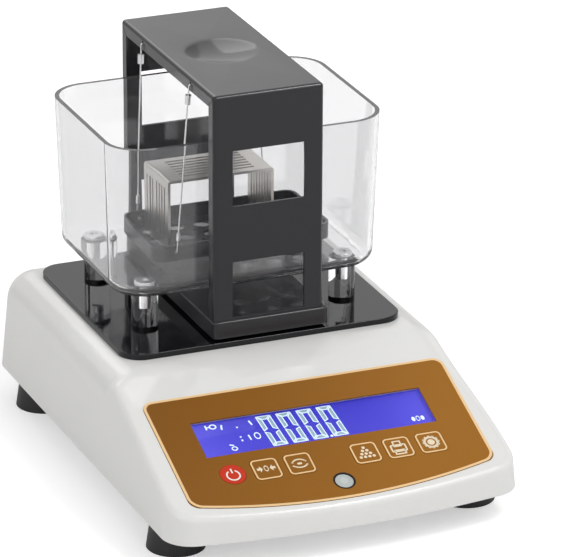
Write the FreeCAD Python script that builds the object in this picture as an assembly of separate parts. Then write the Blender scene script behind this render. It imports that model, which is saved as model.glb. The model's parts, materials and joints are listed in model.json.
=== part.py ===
import FreeCAD
import Part
import math
import os

V = FreeCAD.Vector

# Clearances and shared sheet sizes
OVERRUN = 5.0
FIT = 0.15
SLIDE_GAP = 0.2
RUNNING_GAP = 0.05
AIR_GAP = 0.3

# Housing, from its lower edge up
BODY_WIDTH = 190.0
BODY_LENGTH = 271.5
FRONT_BOW = 9.0
BODY_HEIGHT = 53.5
BODY_CORNER = 16.0
BODY_DRAFT_DEG = 4.0
WALL = 2.5
DECK_EDGE_RADIUS = 16.0
PANEL_EDGE_RADIUS = 5.0
BROW_RADIUS = 30.0
SCOOP_REACH = 13.5
SCOOP_ANGLE_DEG = 13.3
SCOOP_SWING = 180.0
SCOOP_BLEND = 60.0
SCOOP_LIP = 0.05

# Sloped front panel
PANEL_ANGLE_DEG = 21.5
PANEL_SETBACK = 84.65
PANEL_TOP_BELOW_DECK = 8.7
OVERLAY_INSET = 13.0
OVERLAY_SIDE_LENGTH = 75.0
OVERLAY_BOW = 10.6
OVERLAY_CORNER = 6.0
OVERLAY_THICKNESS = 0.8
OVERLAY_RECESS = 0.5
OVERLAY_MARGIN = 0.2

# Display, measured down the panel from the overlay's upper edge
DISPLAY_INSET = 19.7
DISPLAY_HEIGHT = 25.1
DISPLAY_DOWN = 31.4
WINDOW_LAND = 1.2
LCD_BORDER = 3.0
LCD_THICKNESS = 2.4
BACKLIGHT_THICKNESS = 3.5
BOARD_THICKNESS = 1.6
DISPLAY_BOARD_BORDER = 13.7
DISPLAY_BOARD_TOP_DOWN = 12.0
DISPLAY_BOARD_LENGTH = 55.2
BOARD_BOSS_RADIUS = 3.2
BOARD_BOSS_INSET = 4.0

# Keys
KEY_PITCH = 17.85
KEY_DOWN = 57.7
KEY_SIZE = 14.2
KEY_CORNER = 2.6
KEY_PROUD = 0.1
KEY_FLANGE = 1.0
KEY_FLANGE_THICKNESS = 0.8
KEY_STEM_RADIUS = 2.0
KEY_TRAVEL = 0.4
DOME_RADIUS = 5.0
DOME_HEIGHT = 0.8
POWER_KEY_RADIUS = 6.6

# Spirit level
LEVEL_DOWN = 73.9
LEVEL_RADIUS = 5.7
LEVEL_WALL = 0.8
LEVEL_DEPTH = 7.0
LEVEL_FLOOR = 1.4
LEVEL_FLANGE = 1.8
LEVEL_FLANGE_THICKNESS = 1.0

# Base, feet and housing screws
BASE_PROUD = 1.0
BASE_THICKNESS = 3.0
BASE_RIM_HEIGHT = 6.0
BASE_RIM_THICKNESS = 1.5
FOOT_HEIGHT = 14.0
FOOT_GAP = 0.5
FOOT_RADIUS = 15.0
FOOT_TOP_RADIUS = 13.0
FOOT_EDGE = 1.0
FOOT_INSET = 16.0
FOOT_SETBACK = 34.75
FOOT_BORE_DEPTH = 8.0
STEM_RADIUS = 4.0
STEM_LENGTH = 18.5
INSERT_RADIUS = 6.0
INSERT_HEIGHT = 9.0
FOOT_BOSS_RADIUS = 9.0
SCREW_RADIUS = 1.5
SCREW_HEAD_RADIUS = 3.0
SCREW_HEAD_HEIGHT = 1.8
SCREW_BITE = 8.0
SCREW_BOSS_RADIUS = 4.5
SIDE_SCREW_INSET = 11.0
SIDE_SCREW_SETBACK = 65.75
REAR_SCREW_X = 45.0
REAR_SCREW_SETBACK = 9.8
FRONT_SCREW_X = 30.0
FRONT_SCREW_SETBACK = 9.8

# Weighing column, centred where the pan stands
PAN_SETBACK = 86.85
POST_X = 20.0
POST_Y = 45.0
POST_RADIUS = 4.0
POST_HOLE_RADIUS = 6.0
CELL_LENGTH = 80.0
CELL_WIDTH = 20.0
CELL_HEIGHT = 22.0
CELL_END = 18.0
CELL_HOLE_RADIUS = 7.0
CELL_HOLE_SPREAD = 26.0
CELL_SLOT = 6.0
CELL_SCREW_RADIUS = 2.0
CELL_SCREW_BITE = 7.0
CELL_SCREW_SPREAD = 9.0
RISER_HEIGHT = 4.0
RISER_BORDER = 2.0
CARRIER_GAP = 3.0
CARRIER_THICKNESS = 4.0
CARRIER_SPINE = 22.0
CARRIER_ARM = 14.0
CARRIER_ARM_REACH = 27.0
PAN_DIP = 0.8
STOP_GAP = 0.2
STOP_RADIUS = 3.0
STOP_HEX_RADIUS = 5.0
STOP_HEX_HEIGHT = 4.0

# Boards, leads and sockets
MAIN_BOARD_X = (-50.0, 40.0)
MAIN_BOARD_SETBACK = 43.75
MAIN_BOARD_LENGTH = 50.0
STANDOFF_HEIGHT = 6.0
STANDOFF_RADIUS = 3.0
STANDOFF_INSET = 5.0
BOARD_SCREW_RADIUS = 1.3
BOARD_SCREW_HEAD_RADIUS = 2.6
BOARD_SCREW_HEAD_HEIGHT = 1.6
BOARD_SCREW_BITE = 4.0
CHIP_HEIGHT = 1.5
CHIP_SIDE = 12.0
CONNECTOR_HEIGHT = 5.0
CONNECTOR_DEPTH = 5.0
RIBBON_WIDTH = 20.0
RIBBON_THICKNESS = 0.8
RIBBON_X = 25.0
RIBBON_INSET = 17.0
LEAD_RADIUS = 1.2
LEAD_BEND = 6.0
LEAD_LANE = 16.0
LEAD_RUN = 14.0
JACK_INSET = 30.0
JACK_RADIUS = 4.8
JACK_BORE_RADIUS = 2.8
JACK_PIN_RADIUS = 1.0
JACK_BODY = 10.0
JACK_DEPTH = 13.0
JACK_FLANGE = 1.2
SOCKET_HEIGHT = 14.5
SERIAL_WIDTH = 30.8
SERIAL_TALL = 12.5
SERIAL_SHELL_WIDTH = 18.0
SERIAL_SHELL_TALL = 8.4
SERIAL_DEPTH = 10.0
SERIAL_PLATE = 0.9
SERIAL_POCKET = 5.0
PORT_CORNER = 1.5

# Deck plate
PLATE_WIDTH = 154.0
PLATE_LENGTH = 134.5
PLATE_THICKNESS = 3.0
PLATE_CORNER = 12.0
PLATE_EDGE = 0.5

# Weighing pan and the portal that stands on it
PAN_WIDTH = 63.4
PAN_OFFSET_X = 2.5
PAN_LENGTH = 133.6
PAN_HEIGHT = 9.0
PAN_SHEET = 2.0
PAN_CORNER = 3.0
PAN_EDGE = 1.2
PAN_GAP = 2.0
SOCKET_TUBE_WALL = 1.7
SOCKET_TUBE_LENGTH = 4.0
PORTAL_WIDTH = 60.0
PORTAL_OFFSET_X = 1.3
PORTAL_LENGTH = 131.0
PORTAL_SHEET = 1.5
PORTAL_FLANGE = 7.0
PORTAL_BEND = 2.0
MITRE_SLIT = 0.3
WINDOW_WIDTH = 39.4
WINDOW_HEIGHT = 30.0
WINDOW_BAND = 30.0
WINDOW_SILL = 1.5
DISH_RADIUS = 20.5
DISH_DEPTH = 2.4
HOOK_HOLE_RADIUS = 1.0
HOOK_DROP = 3.5
HANGER_TOP_Y = 34.0

# Hangers, tray and sample bridge
WIRE_RADIUS = 0.4
WIRE_BEND = 0.8
WIRE_TAIL = 2.4
WIRE_OUT = 0.8
TRAY_WIRE_OUT = 1.5
HANGER_BOTTOM_X = 36.0
FERRULE_RADIUS = 1.6
FERRULE_LENGTH = 5.0
FERRULE_TOP_DROP = 5.5
FERRULE_LOW_RADIUS = 1.0
FERRULE_LOW_LENGTH = 4.0
FERRULE_LOW_RISE = 7.0
TRAY_LENGTH = 98.0
TRAY_OFFSET_X = 3.0
TRAY_DEPTH = 54.0
TRAY_HEIGHT = 8.5
TRAY_SHEET = 1.4
TRAY_CORNER = 6.0
TRAY_TOP_DROP = 92.0
TRAY_HOLE_RADIUS = 4.6
TRAY_HOLE_PITCH_X = 14.5
TRAY_HOLE_PITCH_Y = 14.5
TRAY_HOLE_COLUMNS = 6
TRAY_HOLE_ROWS = 3
TRAY_PIN_HOLE_RADIUS = 1.2
TRAY_HOOK_DROP = 3.6
TRAY_HOOK_GAP = 0.3
BRIDGE_LENGTH = 58.5
BRIDGE_DEPTH = 32.5
BRIDGE_HEIGHT = 38.0
BRIDGE_SHEET = 1.4
BRIDGE_BEND = 1.6
BRIDGE_OFFSET_X = -5.5
BRIDGE_SLOT = 1.6
BRIDGE_SLOT_PITCH = 3.7
BRIDGE_SLOTS = 7
BRIDGE_SLOT_MARGIN = 5.0
BRIDGE_TOP_MARGIN = 9.0

# Water tank on its four legs
TANK_WIDTH = 150.0
TANK_OFFSET_X = -1.2
TANK_LENGTH = 107.8
TANK_HEIGHT = 82.0
TANK_WALL = 2.4
TANK_FLOOR = 3.0
TANK_CORNER = 20.0
TANK_TAPER_X = 2.6
TANK_TAPER_Y = 1.7
TANK_EDGE = 7.0
LEG_HEIGHT = 22.5
LEG_RADIUS = 6.9
LEG_X = 54.6
LEG_Y = 34.9
LEG_SCREW_RADIUS = 2.0
LEG_SCREW_HEAD_RADIUS = 5.3
LEG_SCREW_HEAD = 1.3
LEG_SCREW_BITE = 10.0
SEAL_THICKNESS = 0.6

# Levels worked out from the sizes above
BASE_UNDER = FOOT_HEIGHT + FOOT_GAP
BODY_BOTTOM = BASE_UNDER + BASE_PROUD
BASE_TOP = BASE_UNDER + BASE_THICKNESS
DECK_Z = BODY_BOTTOM + BODY_HEIGHT
PLATE_TOP = DECK_Z + PLATE_THICKNESS
PAN_UNDER = PLATE_TOP + PAN_GAP
PAN_TOP = PAN_UNDER + PAN_HEIGHT
PORTAL_HEIGHT = WINDOW_SILL + 2 * WINDOW_HEIGHT + 2 * WINDOW_BAND
PORTAL_TOP = PAN_TOP + PORTAL_HEIGHT
TANK_BOTTOM = PLATE_TOP + LEG_HEIGHT
TANK_TOP = TANK_BOTTOM + TANK_HEIGHT
TRAY_TOP = PORTAL_TOP - TRAY_TOP_DROP
TRAY_BOTTOM = TRAY_TOP - TRAY_HEIGHT
BODY_FRONT = -BODY_LENGTH / 2
BODY_REAR = BODY_LENGTH / 2
FRONT_CORNER_Y = BODY_FRONT + FRONT_BOW
FOOT_X = BODY_WIDTH / 2 - FOOT_INSET
FOOT_Y = (FRONT_CORNER_Y + BODY_REAR) / 2
FOOT_SPAN_Y = BODY_REAR - FRONT_CORNER_Y - 2 * FOOT_SETBACK
SIDE_SCREW_X = BODY_WIDTH / 2 - SIDE_SCREW_INSET
SIDE_SCREW_Y = BODY_FRONT + SIDE_SCREW_SETBACK
PANEL_TOP_Y = BODY_FRONT + PANEL_SETBACK
OVERLAY_HALF_WIDTH = BODY_WIDTH / 2 - OVERLAY_INSET
DISPLAY_WIDTH = 2 * (OVERLAY_HALF_WIDTH - DISPLAY_INSET)
DISPLAY_BOARD_WIDTH = DISPLAY_WIDTH + 2 * DISPLAY_BOARD_BORDER
MAIN_BOARD_Y = (BODY_FRONT + MAIN_BOARD_SETBACK, BODY_FRONT + MAIN_BOARD_SETBACK + MAIN_BOARD_LENGTH)
RIBBON_Y = MAIN_BOARD_Y[0] + RIBBON_INSET
JACK_X = JACK_INSET - BODY_WIDTH / 2
PAN_Y = BODY_REAR - PAN_SETBACK
PANEL_TOP_Z = DECK_Z - PANEL_TOP_BELOW_DECK
PANEL_SINE = math.sin(math.radians(PANEL_ANGLE_DEG))
PANEL_COSINE = math.cos(math.radians(PANEL_ANGLE_DEG))
PANEL_TANGENT = math.tan(math.radians(PANEL_ANGLE_DEG))
DRAFT = math.tan(math.radians(BODY_DRAFT_DEG))
KEY_COLUMNS = {"power": -3, "zero": -2, "mode": -1, "enter": 1, "print": 2, "set": 3}
CORNERS = {"front_left": (-1, -1), "front_right": (1, -1), "rear_left": (-1, 1), "rear_right": (1, 1)}

# Levels of the panel's stack, along its normal from its surface
WALL_UNDER = -WALL
LCD_UNDER = WALL_UNDER - LCD_THICKNESS
BOARD_FACE = LCD_UNDER - BACKLIGHT_THICKNESS
BOARD_UNDER = BOARD_FACE - BOARD_THICKNESS
OVERLAY_FACE = OVERLAY_THICKNESS - OVERLAY_RECESS
DOME_FACE = BOARD_FACE + DOME_HEIGHT
KEY_STEM_END = DOME_FACE + KEY_TRAVEL + RUNNING_GAP
KEY_FLANGE_TOP = WALL_UNDER - AIR_GAP


def box(x0, x1, y0, y1, z0, z1):
    return Part.makeBox(x1 - x0, y1 - y0, z1 - z0, V(x0, y0, z0))


def rod(x, y, z0, z1, radius):
    return Part.makeCylinder(radius, z1 - z0, V(x, y, z0))


def tube(x, y, z0, z1, radius, bore):
    return rod(x, y, z0, z1, radius).cut(rod(x, y, z0 - OVERRUN, z1 + OVERRUN, bore))


def join(shapes):
    whole = shapes[0]
    for shape in shapes[1:]:
        whole = whole.fuse(shape)
    return whole.removeSplitter()


def group(shapes):
    return Part.makeCompound(shapes)


def take(shape, cutters):
    for cutter in cutters:
        shape = shape.cut(cutter)
    return shape


def edge_spans(edge):
    ends = [vertex.Point for vertex in edge.Vertexes]
    return [max(axis) - min(axis) for axis in zip(*[(p.x, p.y, p.z) for p in ends])]


def upright_edges(shape):
    found = []
    for edge in shape.Edges:
        across, along, up = edge_spans(edge)
        if up > across + along:
            found.append(edge)
    return found


def edges_at(shape, level, slack):
    return [e for e in shape.Edges if all(abs(v.Point.z - level) < slack for v in e.Vertexes)]


def round_wire(centre_x, centre_y, half_x, half_y, radius, z):
    """A rectangle with rounded corners, as one closed wire."""
    edges = []
    turn = [(1, -1), (1, 1), (-1, 1), (-1, -1)]
    ends = []
    for index, (sx, sy) in enumerate(turn):
        middle = V(centre_x + sx * (half_x - radius), centre_y + sy * (half_y - radius), z)
        start = math.radians(-90 + 90 * index)
        arc = [V(middle.x + radius * math.cos(start + math.radians(step)),
                 middle.y + radius * math.sin(start + math.radians(step)), z) for step in (0, 45, 90)]
        ends.append(arc)
    for index, arc in enumerate(ends):
        edges.append(Part.Arc(*arc).toShape())
        edges.append(Part.LineSegment(arc[2], ends[(index + 1) % len(ends)][0]).toShape())
    return Part.Wire(edges)


def round_slab(centre_x, centre_y, half_x, half_y, radius, z0, z1):
    face = Part.Face(round_wire(centre_x, centre_y, half_x, half_y, radius, z0))
    return face.extrude(V(0, 0, z1 - z0))


def bent_path(points, bend):
    """Straight runs joined by tangent arcs of one radius."""
    edges = []
    start = points[0]
    for before, corner, after in zip(points, points[1:], points[2:]):
        back = (before - corner).normalize()
        ahead = (after - corner).normalize()
        turn = math.pi - back.getAngle(ahead)
        reach = bend * math.tan(turn / 2)
        first = corner + back * reach
        last = corner + ahead * reach
        inward = (back + ahead).normalize()
        middle = corner + inward * (bend / math.cos(turn / 2) - bend)
        edges.append(Part.LineSegment(start, first).toShape())
        edges.append(Part.Arc(first, middle, last).toShape())
        start = last
    edges.append(Part.LineSegment(start, points[-1]).toShape())
    return Part.Wire(edges)


def wire_along(points, bend, radius):
    path = bent_path(points, bend)
    lead = (points[1] - points[0]).normalize()
    ring = Part.Wire(Part.makeCircle(radius, points[0], lead))
    return path.makePipeShell([ring], True, False)


def on_panel(shape):
    """Places a shape drawn flat: X across, Y up the slope from the overlay's upper edge, Z outwards."""
    placed = shape.copy()
    placed.rotate(V(0, 0, 0), V(1, 0, 0), PANEL_ANGLE_DEG)
    placed.translate(V(0, PANEL_TOP_Y, PANEL_TOP_Z))
    return placed


def panel_height(y):
    return PANEL_TOP_Z + (y - PANEL_TOP_Y) * PANEL_TANGENT


# Housing
def body_outline(inset, z):
    half = BODY_WIDTH / 2 - inset
    rear = BODY_REAR - inset
    left = V(-half, FRONT_CORNER_Y + inset, z)
    right = V(half, FRONT_CORNER_Y + inset, z)
    bow = Part.Arc(left, V(0, BODY_FRONT + inset, z), right).toShape()
    sides = [right, V(half, rear, z), V(-half, rear, z), left]
    lines = [Part.LineSegment(a, b).toShape() for a, b in zip(sides, sides[1:])]
    return Part.Wire([bow] + lines)


def body_prism(inset, z0, z1):
    prism = Part.Face(body_outline(inset, z0)).extrude(V(0, 0, z1 - z0))
    return prism.makeFillet(BODY_CORNER - inset, upright_edges(prism))


def side_profile(inset, bottom):
    """The housing seen from its side: deck, brow arc and sloped panel."""
    deck = DECK_Z - inset
    drop = inset / PANEL_COSINE
    bend_y = PANEL_TOP_Y + (deck - PANEL_TOP_Z + drop) / PANEL_TANGENT
    reach = (BROW_RADIUS - inset) * math.tan(math.radians(PANEL_ANGLE_DEG) / 2)
    sag = (BROW_RADIUS - inset) * (1 - math.cos(math.radians(PANEL_ANGLE_DEG) / 2))
    half = math.radians(PANEL_ANGLE_DEG) / 2
    on_deck = V(0, bend_y + reach, deck)
    on_slope = V(0, bend_y - reach * PANEL_COSINE, deck - reach * PANEL_SINE)
    chord = (on_deck + on_slope) * 0.5
    middle = chord + V(0, -math.sin(half), math.cos(half)) * sag
    front_y = BODY_FRONT - OVERRUN
    front = V(0, front_y, panel_height(front_y) - drop)
    corners = [V(0, BODY_REAR + OVERRUN, deck), V(0, BODY_REAR + OVERRUN, bottom), V(0, front_y, bottom)]
    edges = [Part.Arc(on_slope, middle, on_deck).toShape()]
    run = [on_deck] + corners + [front, on_slope]
    edges += [Part.LineSegment(a, b).toShape() for a, b in zip(run, run[1:])]
    face = Part.Face(Part.Wire(edges))
    width = BODY_WIDTH + 2 * OVERRUN
    face.translate(V(-width / 2, 0, 0))
    return face.extrude(V(width, 0, 0))


def scoop(inset):
    """What is cut from the deck's front: a shallow cone about an upright axis ahead of the housing."""
    slope = math.radians(SCOOP_ANGLE_DEG)
    brow_y = PANEL_TOP_Y + (DECK_Z - PANEL_TOP_Z) / PANEL_TANGENT
    corner_y = brow_y - SCOOP_REACH + SCOOP_REACH * PANEL_TANGENT / math.tan(slope)
    level = DECK_Z - inset + SCOOP_LIP
    bend = SCOOP_BLEND * math.tan(slope / 2)
    rear = V(0, corner_y + bend, level)
    middle = rear + V(0, -math.sin(slope / 2), math.cos(slope / 2) - 1) * SCOOP_BLEND
    knee = rear + V(0, -math.sin(slope), math.cos(slope) - 1) * SCOOP_BLEND
    low = knee + V(0, -math.cos(slope), -math.sin(slope)) * (SCOOP_SWING / 2)
    above = V(0, low.y, DECK_Z + OVERRUN)
    over = V(0, rear.y, DECK_Z + OVERRUN)
    edges = [Part.Arc(rear, middle, knee).toShape()]
    run = [knee, low, above, over, rear]
    edges += [Part.LineSegment(a, b).toShape() for a, b in zip(run, run[1:])]
    sweep = 2 * math.degrees(math.asin(BODY_WIDTH / 2 / SCOOP_SWING))
    axis = V(0, corner_y - SCOOP_SWING, 0)
    face = Part.Face(Part.Wire(edges))
    face.rotate(axis, V(0, 0, 1), -sweep / 2)
    return face.revolve(axis, V(0, 0, 1), sweep)


def mixed_fillet(shape, radii):
    """Fillets every listed edge at once, each with its own pair of end radii."""
    document = FreeCAD.newDocument()
    base = document.addObject("Part::Feature", "base")
    base.Shape = shape
    fillet = document.addObject("Part::Fillet", "fillet")
    fillet.Base = base
    fillet.Edges = radii
    document.recompute()
    result = fillet.Shape.copy()
    FreeCAD.closeDocument(document.Name)
    return result.Solids[0]


def body_block(inset, bottom):
    """The housing's whole outer form, or its cavity when inset."""
    foot = body_outline(inset - (BODY_BOTTOM - bottom) * DRAFT, bottom)
    head_z = DECK_Z + OVERRUN
    head = body_outline(inset + (head_z - BODY_BOTTOM) * DRAFT, head_z)
    tapered = Part.makeLoft([foot, head], True, True)
    tapered = tapered.makeFillet(BODY_CORNER - inset, upright_edges(tapered))
    block = tapered.common(side_profile(inset, bottom - OVERRUN)).Solids[0]
    deck = DECK_EDGE_RADIUS - inset
    panel = PANEL_EDGE_RADIUS - inset
    slack = OVERLAY_MARGIN
    radii = []
    for number, edge in enumerate(block.Edges, start=1):
        ends = [v.Point for v in edge.Vertexes]
        middle = edge.valueAt((edge.FirstParameter + edge.LastParameter) / 2)
        outside = abs(middle.x) > BODY_WIDTH / 4 or middle.y > BODY_REAR / 2 or middle.y < FRONT_CORNER_Y
        on_top = [abs(p.z - (DECK_Z - inset)) < slack for p in ends]
        on_slope = [abs(p.z - panel_height(p.y) + inset / PANEL_COSINE) < slack for p in ends]
        if not outside or not all(a or b for a, b in zip(on_top, on_slope)):
            continue
        if all(on_top):
            radii.append((number, deck, deck))
        elif all(on_slope):
            radii.append((number, panel, panel))
        else:
            first = edge.valueAt(edge.FirstParameter)
            deck_first = abs(first.z - (DECK_Z - inset)) < slack
            if edge.Orientation == "Reversed":
                deck_first = not deck_first
            radii.append((number, deck, panel) if deck_first else (number, panel, deck))
    return mixed_fillet(block, radii).cut(scoop(inset))


def overlay_sheet(margin, low, high):
    """The overlay's outline on the panel: straight sides and a bowed lower edge."""
    half = OVERLAY_HALF_WIDTH + margin
    length = OVERLAY_SIDE_LENGTH + margin
    left = V(-half, -length, low)
    right = V(half, -length, low)
    bow = Part.Arc(left, V(0, -length - OVERLAY_BOW, low), right).toShape()
    sides = [right, V(half, margin, low), V(-half, margin, low), left]
    lines = [Part.LineSegment(a, b).toShape() for a, b in zip(sides, sides[1:])]
    sheet = Part.Face(Part.Wire([bow] + lines)).extrude(V(0, 0, high - low))
    return sheet.makeFillet(OVERLAY_CORNER + margin, upright_edges(sheet))


def key_places():
    return {name: column * KEY_PITCH for name, column in KEY_COLUMNS.items()}


def key_shape(name, x, margin, low, high):
    if name == "power":
        return rod(x, -KEY_DOWN, low, high, POWER_KEY_RADIUS + margin)
    half = KEY_SIZE / 2 + margin
    return round_slab(x, -KEY_DOWN, half, half, KEY_CORNER + margin, low, high)


def display_slab(border, low, high):
    half_x = DISPLAY_WIDTH / 2 + border
    half_y = DISPLAY_HEIGHT / 2 + border
    return box(-half_x, half_x, -DISPLAY_DOWN - half_y, -DISPLAY_DOWN + half_y, low, high)


def screw_places():
    places = []
    for side in (-1, 1):
        places.append((side * SIDE_SCREW_X, SIDE_SCREW_Y))
        places.append((side * REAR_SCREW_X, BODY_REAR - REAR_SCREW_SETBACK))
        places.append((side * FRONT_SCREW_X, BODY_FRONT + FRONT_SCREW_SETBACK))
    return places


def display_board_corners():
    top = -DISPLAY_BOARD_TOP_DOWN - BOARD_BOSS_INSET
    low = -DISPLAY_BOARD_TOP_DOWN - DISPLAY_BOARD_LENGTH + BOARD_BOSS_INSET
    half = DISPLAY_BOARD_WIDTH / 2 - BOARD_BOSS_INSET
    return [(-half, top), (half, top), (-half, low), (half, low)]


def post_places():
    return [(sx * POST_X, PAN_Y + sy * POST_Y) for sx, sy in CORNERS.values()]


def foot_places():
    return {name: (sx * FOOT_X, FOOT_Y + sy * FOOT_SPAN_Y / 2) for name, (sx, sy) in CORNERS.items()}


def rear_face(z):
    return BODY_REAR - (z - BODY_BOTTOM) * DRAFT


def socket_rod(x, z, y0, y1, radius):
    return Part.makeCylinder(radius, y1 - y0, V(x, y0, z), V(0, 1, 0))


def upper_housing():
    outer = body_block(0, BODY_BOTTOM)
    cavity = body_block(WALL, BODY_BOTTOM - OVERRUN)
    shell = outer.cut(cavity)
    bosses = []
    for x, y in screw_places():
        bosses.append(rod(x, y, BASE_TOP + FIT, DECK_Z, SCREW_BOSS_RADIUS).common(outer))
    for x, y in display_board_corners():
        bosses.append(on_panel(rod(x, y, BOARD_FACE, WALL_UNDER / 2, BOARD_BOSS_RADIUS)))
    shell = join([shell] + bosses)
    cuts = []
    for x, y in screw_places():
        cuts.append(rod(x, y, BASE_TOP, BASE_TOP + SCREW_BITE + FIT, SCREW_RADIUS + RUNNING_GAP))
    for x, y in display_board_corners():
        depth = BOARD_FACE + BOARD_SCREW_BITE
        cuts.append(on_panel(rod(x, y, BOARD_FACE - OVERRUN, depth, BOARD_SCREW_RADIUS + RUNNING_GAP)))
    cuts.append(on_panel(overlay_sheet(OVERLAY_MARGIN, -OVERLAY_RECESS, OVERRUN)))
    cuts.append(on_panel(display_slab(WINDOW_LAND + FIT, WALL_UNDER - FIT, OVERRUN)))
    for name, x in key_places().items():
        cuts.append(on_panel(key_shape(name, x, SLIDE_GAP, WALL_UNDER - FIT, OVERRUN)))
    cuts.append(on_panel(rod(0, -LEVEL_DOWN, WALL_UNDER - FIT, OVERRUN, LEVEL_RADIUS + RUNNING_GAP)))
    for x, y in post_places():
        cuts.append(rod(x, y, CARRIER_TOP, DECK_Z + OVERRUN, POST_HOLE_RADIUS))
    port_z = BODY_BOTTOM + SOCKET_HEIGHT
    back = BODY_REAR + OVERRUN
    deep = rear_face(port_z) - WALL - OVERRUN
    cuts.append(socket_rod(JACK_X, port_z, deep, back, JACK_RADIUS + RUNNING_GAP))
    half_x = SERIAL_SHELL_WIDTH / 2 + FIT
    half_z = SERIAL_SHELL_TALL / 2 + FIT
    cuts.append(box(-half_x, half_x, deep, back, port_z - half_z, port_z + half_z))
    return take(shell, cuts)


def lower_housing():
    inset = WALL + (BASE_TOP - BODY_BOTTOM) * DRAFT + FIT
    floor = body_prism(inset, BASE_UNDER, BASE_TOP)
    rim_inset = inset + BASE_RIM_HEIGHT * DRAFT + FIT
    rim = body_prism(rim_inset, BASE_TOP - FIT, BASE_TOP + BASE_RIM_HEIGHT)
    hollow = body_prism(rim_inset + BASE_RIM_THICKNESS, BASE_TOP, BASE_TOP + BASE_RIM_HEIGHT + OVERRUN)
    rim = rim.cut(hollow)
    bosses = []
    for x, y in screw_places():
        rim = rim.cut(rod(x, y, BASE_TOP, DECK_Z, SCREW_BOSS_RADIUS + AIR_GAP))
    for x, y in foot_places().values():
        top = BASE_UNDER + BASE_THICKNESS / 2 + INSERT_HEIGHT
        bosses.append(rod(x, y, BASE_UNDER, top, FOOT_BOSS_RADIUS))
    base = join([floor, rim] + bosses)
    cuts = []
    for x, y in foot_places().values():
        seat = BASE_UNDER + BASE_THICKNESS / 2
        cuts.append(rod(x, y, BASE_UNDER - OVERRUN, DECK_Z, STEM_RADIUS + AIR_GAP))
        cuts.append(rod(x, y, seat, DECK_Z, INSERT_RADIUS))
    for x, y in screw_places():
        cuts.append(rod(x, y, BASE_UNDER - OVERRUN, DECK_Z, SCREW_RADIUS + RUNNING_GAP))
        cuts.append(rod(x, y, BASE_UNDER - OVERRUN, BASE_UNDER + SCREW_HEAD_HEIGHT, SCREW_HEAD_RADIUS + FIT))
    for x, y in fixed_screw_places():
        cuts.append(rod(x, y, BASE_UNDER - OVERRUN, DECK_Z, CELL_SCREW_RADIUS + RUNNING_GAP))
        head = BASE_UNDER + SCREW_HEAD_HEIGHT
        cuts.append(rod(x, y, BASE_UNDER - OVERRUN, head, 2 * CELL_SCREW_RADIUS + FIT))
    for x, y in standoff_places():
        cuts.append(rod(x, y, BASE_UNDER - OVERRUN, DECK_Z, BOARD_SCREW_RADIUS + RUNNING_GAP))
    return take(base, cuts)


def housing_screws():
    screws = []
    for x, y in screw_places():
        head_top = BASE_UNDER + SCREW_HEAD_HEIGHT
        head = rod(x, y, BASE_UNDER, head_top, SCREW_HEAD_RADIUS)
        shank = rod(x, y, BASE_UNDER, BASE_TOP + SCREW_BITE, SCREW_RADIUS)
        slot = box(x - SCREW_HEAD_RADIUS, x + SCREW_HEAD_RADIUS, y - FIT, y + FIT,
                   BASE_UNDER - OVERRUN, BASE_UNDER + SCREW_HEAD_HEIGHT / 2)
        screws.append(head.fuse(shank).removeSplitter().cut(slot))
    return group(screws)


# Feet
def foot(x, y):
    cone = Part.makeCone(FOOT_RADIUS, FOOT_TOP_RADIUS, FOOT_HEIGHT, V(x, y, 0))
    cone = cone.makeFillet(FOOT_EDGE, edges_at(cone, FOOT_HEIGHT, FIT))
    bore = rod(x, y, FOOT_HEIGHT - FOOT_BORE_DEPTH, FOOT_HEIGHT + OVERRUN, STEM_RADIUS + RUNNING_GAP)
    return cone.cut(bore)


def foot_stem(x, y):
    low = FOOT_HEIGHT - FOOT_BORE_DEPTH + RUNNING_GAP
    return rod(x, y, low, low + STEM_LENGTH, STEM_RADIUS)


def foot_inserts():
    seat = BASE_UNDER + BASE_THICKNESS / 2
    bore = STEM_RADIUS + RUNNING_GAP
    places = foot_places().values()
    return group([tube(x, y, seat, seat + INSERT_HEIGHT, INSERT_RADIUS, bore) for x, y in places])


# Front panel
def panel_overlay():
    sheet = overlay_sheet(0, -OVERLAY_RECESS, OVERLAY_FACE)
    cuts = [display_slab(0, -OVERRUN, OVERRUN)]
    for name, x in key_places().items():
        cuts.append(key_shape(name, x, SLIDE_GAP, -OVERRUN, OVERRUN))
    cuts.append(rod(0, -LEVEL_DOWN, -OVERRUN, OVERRUN, LEVEL_RADIUS + RUNNING_GAP))
    return on_panel(take(sheet, cuts))


def display_window():
    return on_panel(display_slab(WINDOW_LAND, WALL_UNDER, -OVERLAY_RECESS))


def lcd_module():
    return on_panel(display_slab(LCD_BORDER, LCD_UNDER, WALL_UNDER))


def backlight():
    return on_panel(display_slab(LCD_BORDER, BOARD_FACE, LCD_UNDER))


def display_board():
    half = DISPLAY_BOARD_WIDTH / 2
    top = -DISPLAY_BOARD_TOP_DOWN
    board = box(-half, half, top - DISPLAY_BOARD_LENGTH, top, BOARD_UNDER, BOARD_FACE)
    socket_y = (RIBBON_Y - PANEL_TOP_Y) / PANEL_COSINE + BOARD_UNDER * PANEL_TANGENT
    socket = box(RIBBON_X - RIBBON_WIDTH / 2, RIBBON_X + RIBBON_WIDTH / 2,
                 socket_y - CONNECTOR_DEPTH / 2, socket_y + CONNECTOR_DEPTH / 2,
                 BOARD_UNDER - CHIP_HEIGHT, BOARD_UNDER)
    board = join([board, socket])
    holes = []
    for x, y in display_board_corners():
        holes.append(rod(x, y, BOARD_UNDER - OVERRUN, BOARD_FACE + FIT, BOARD_SCREW_RADIUS + RUNNING_GAP))
    return on_panel(take(board, holes))


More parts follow.
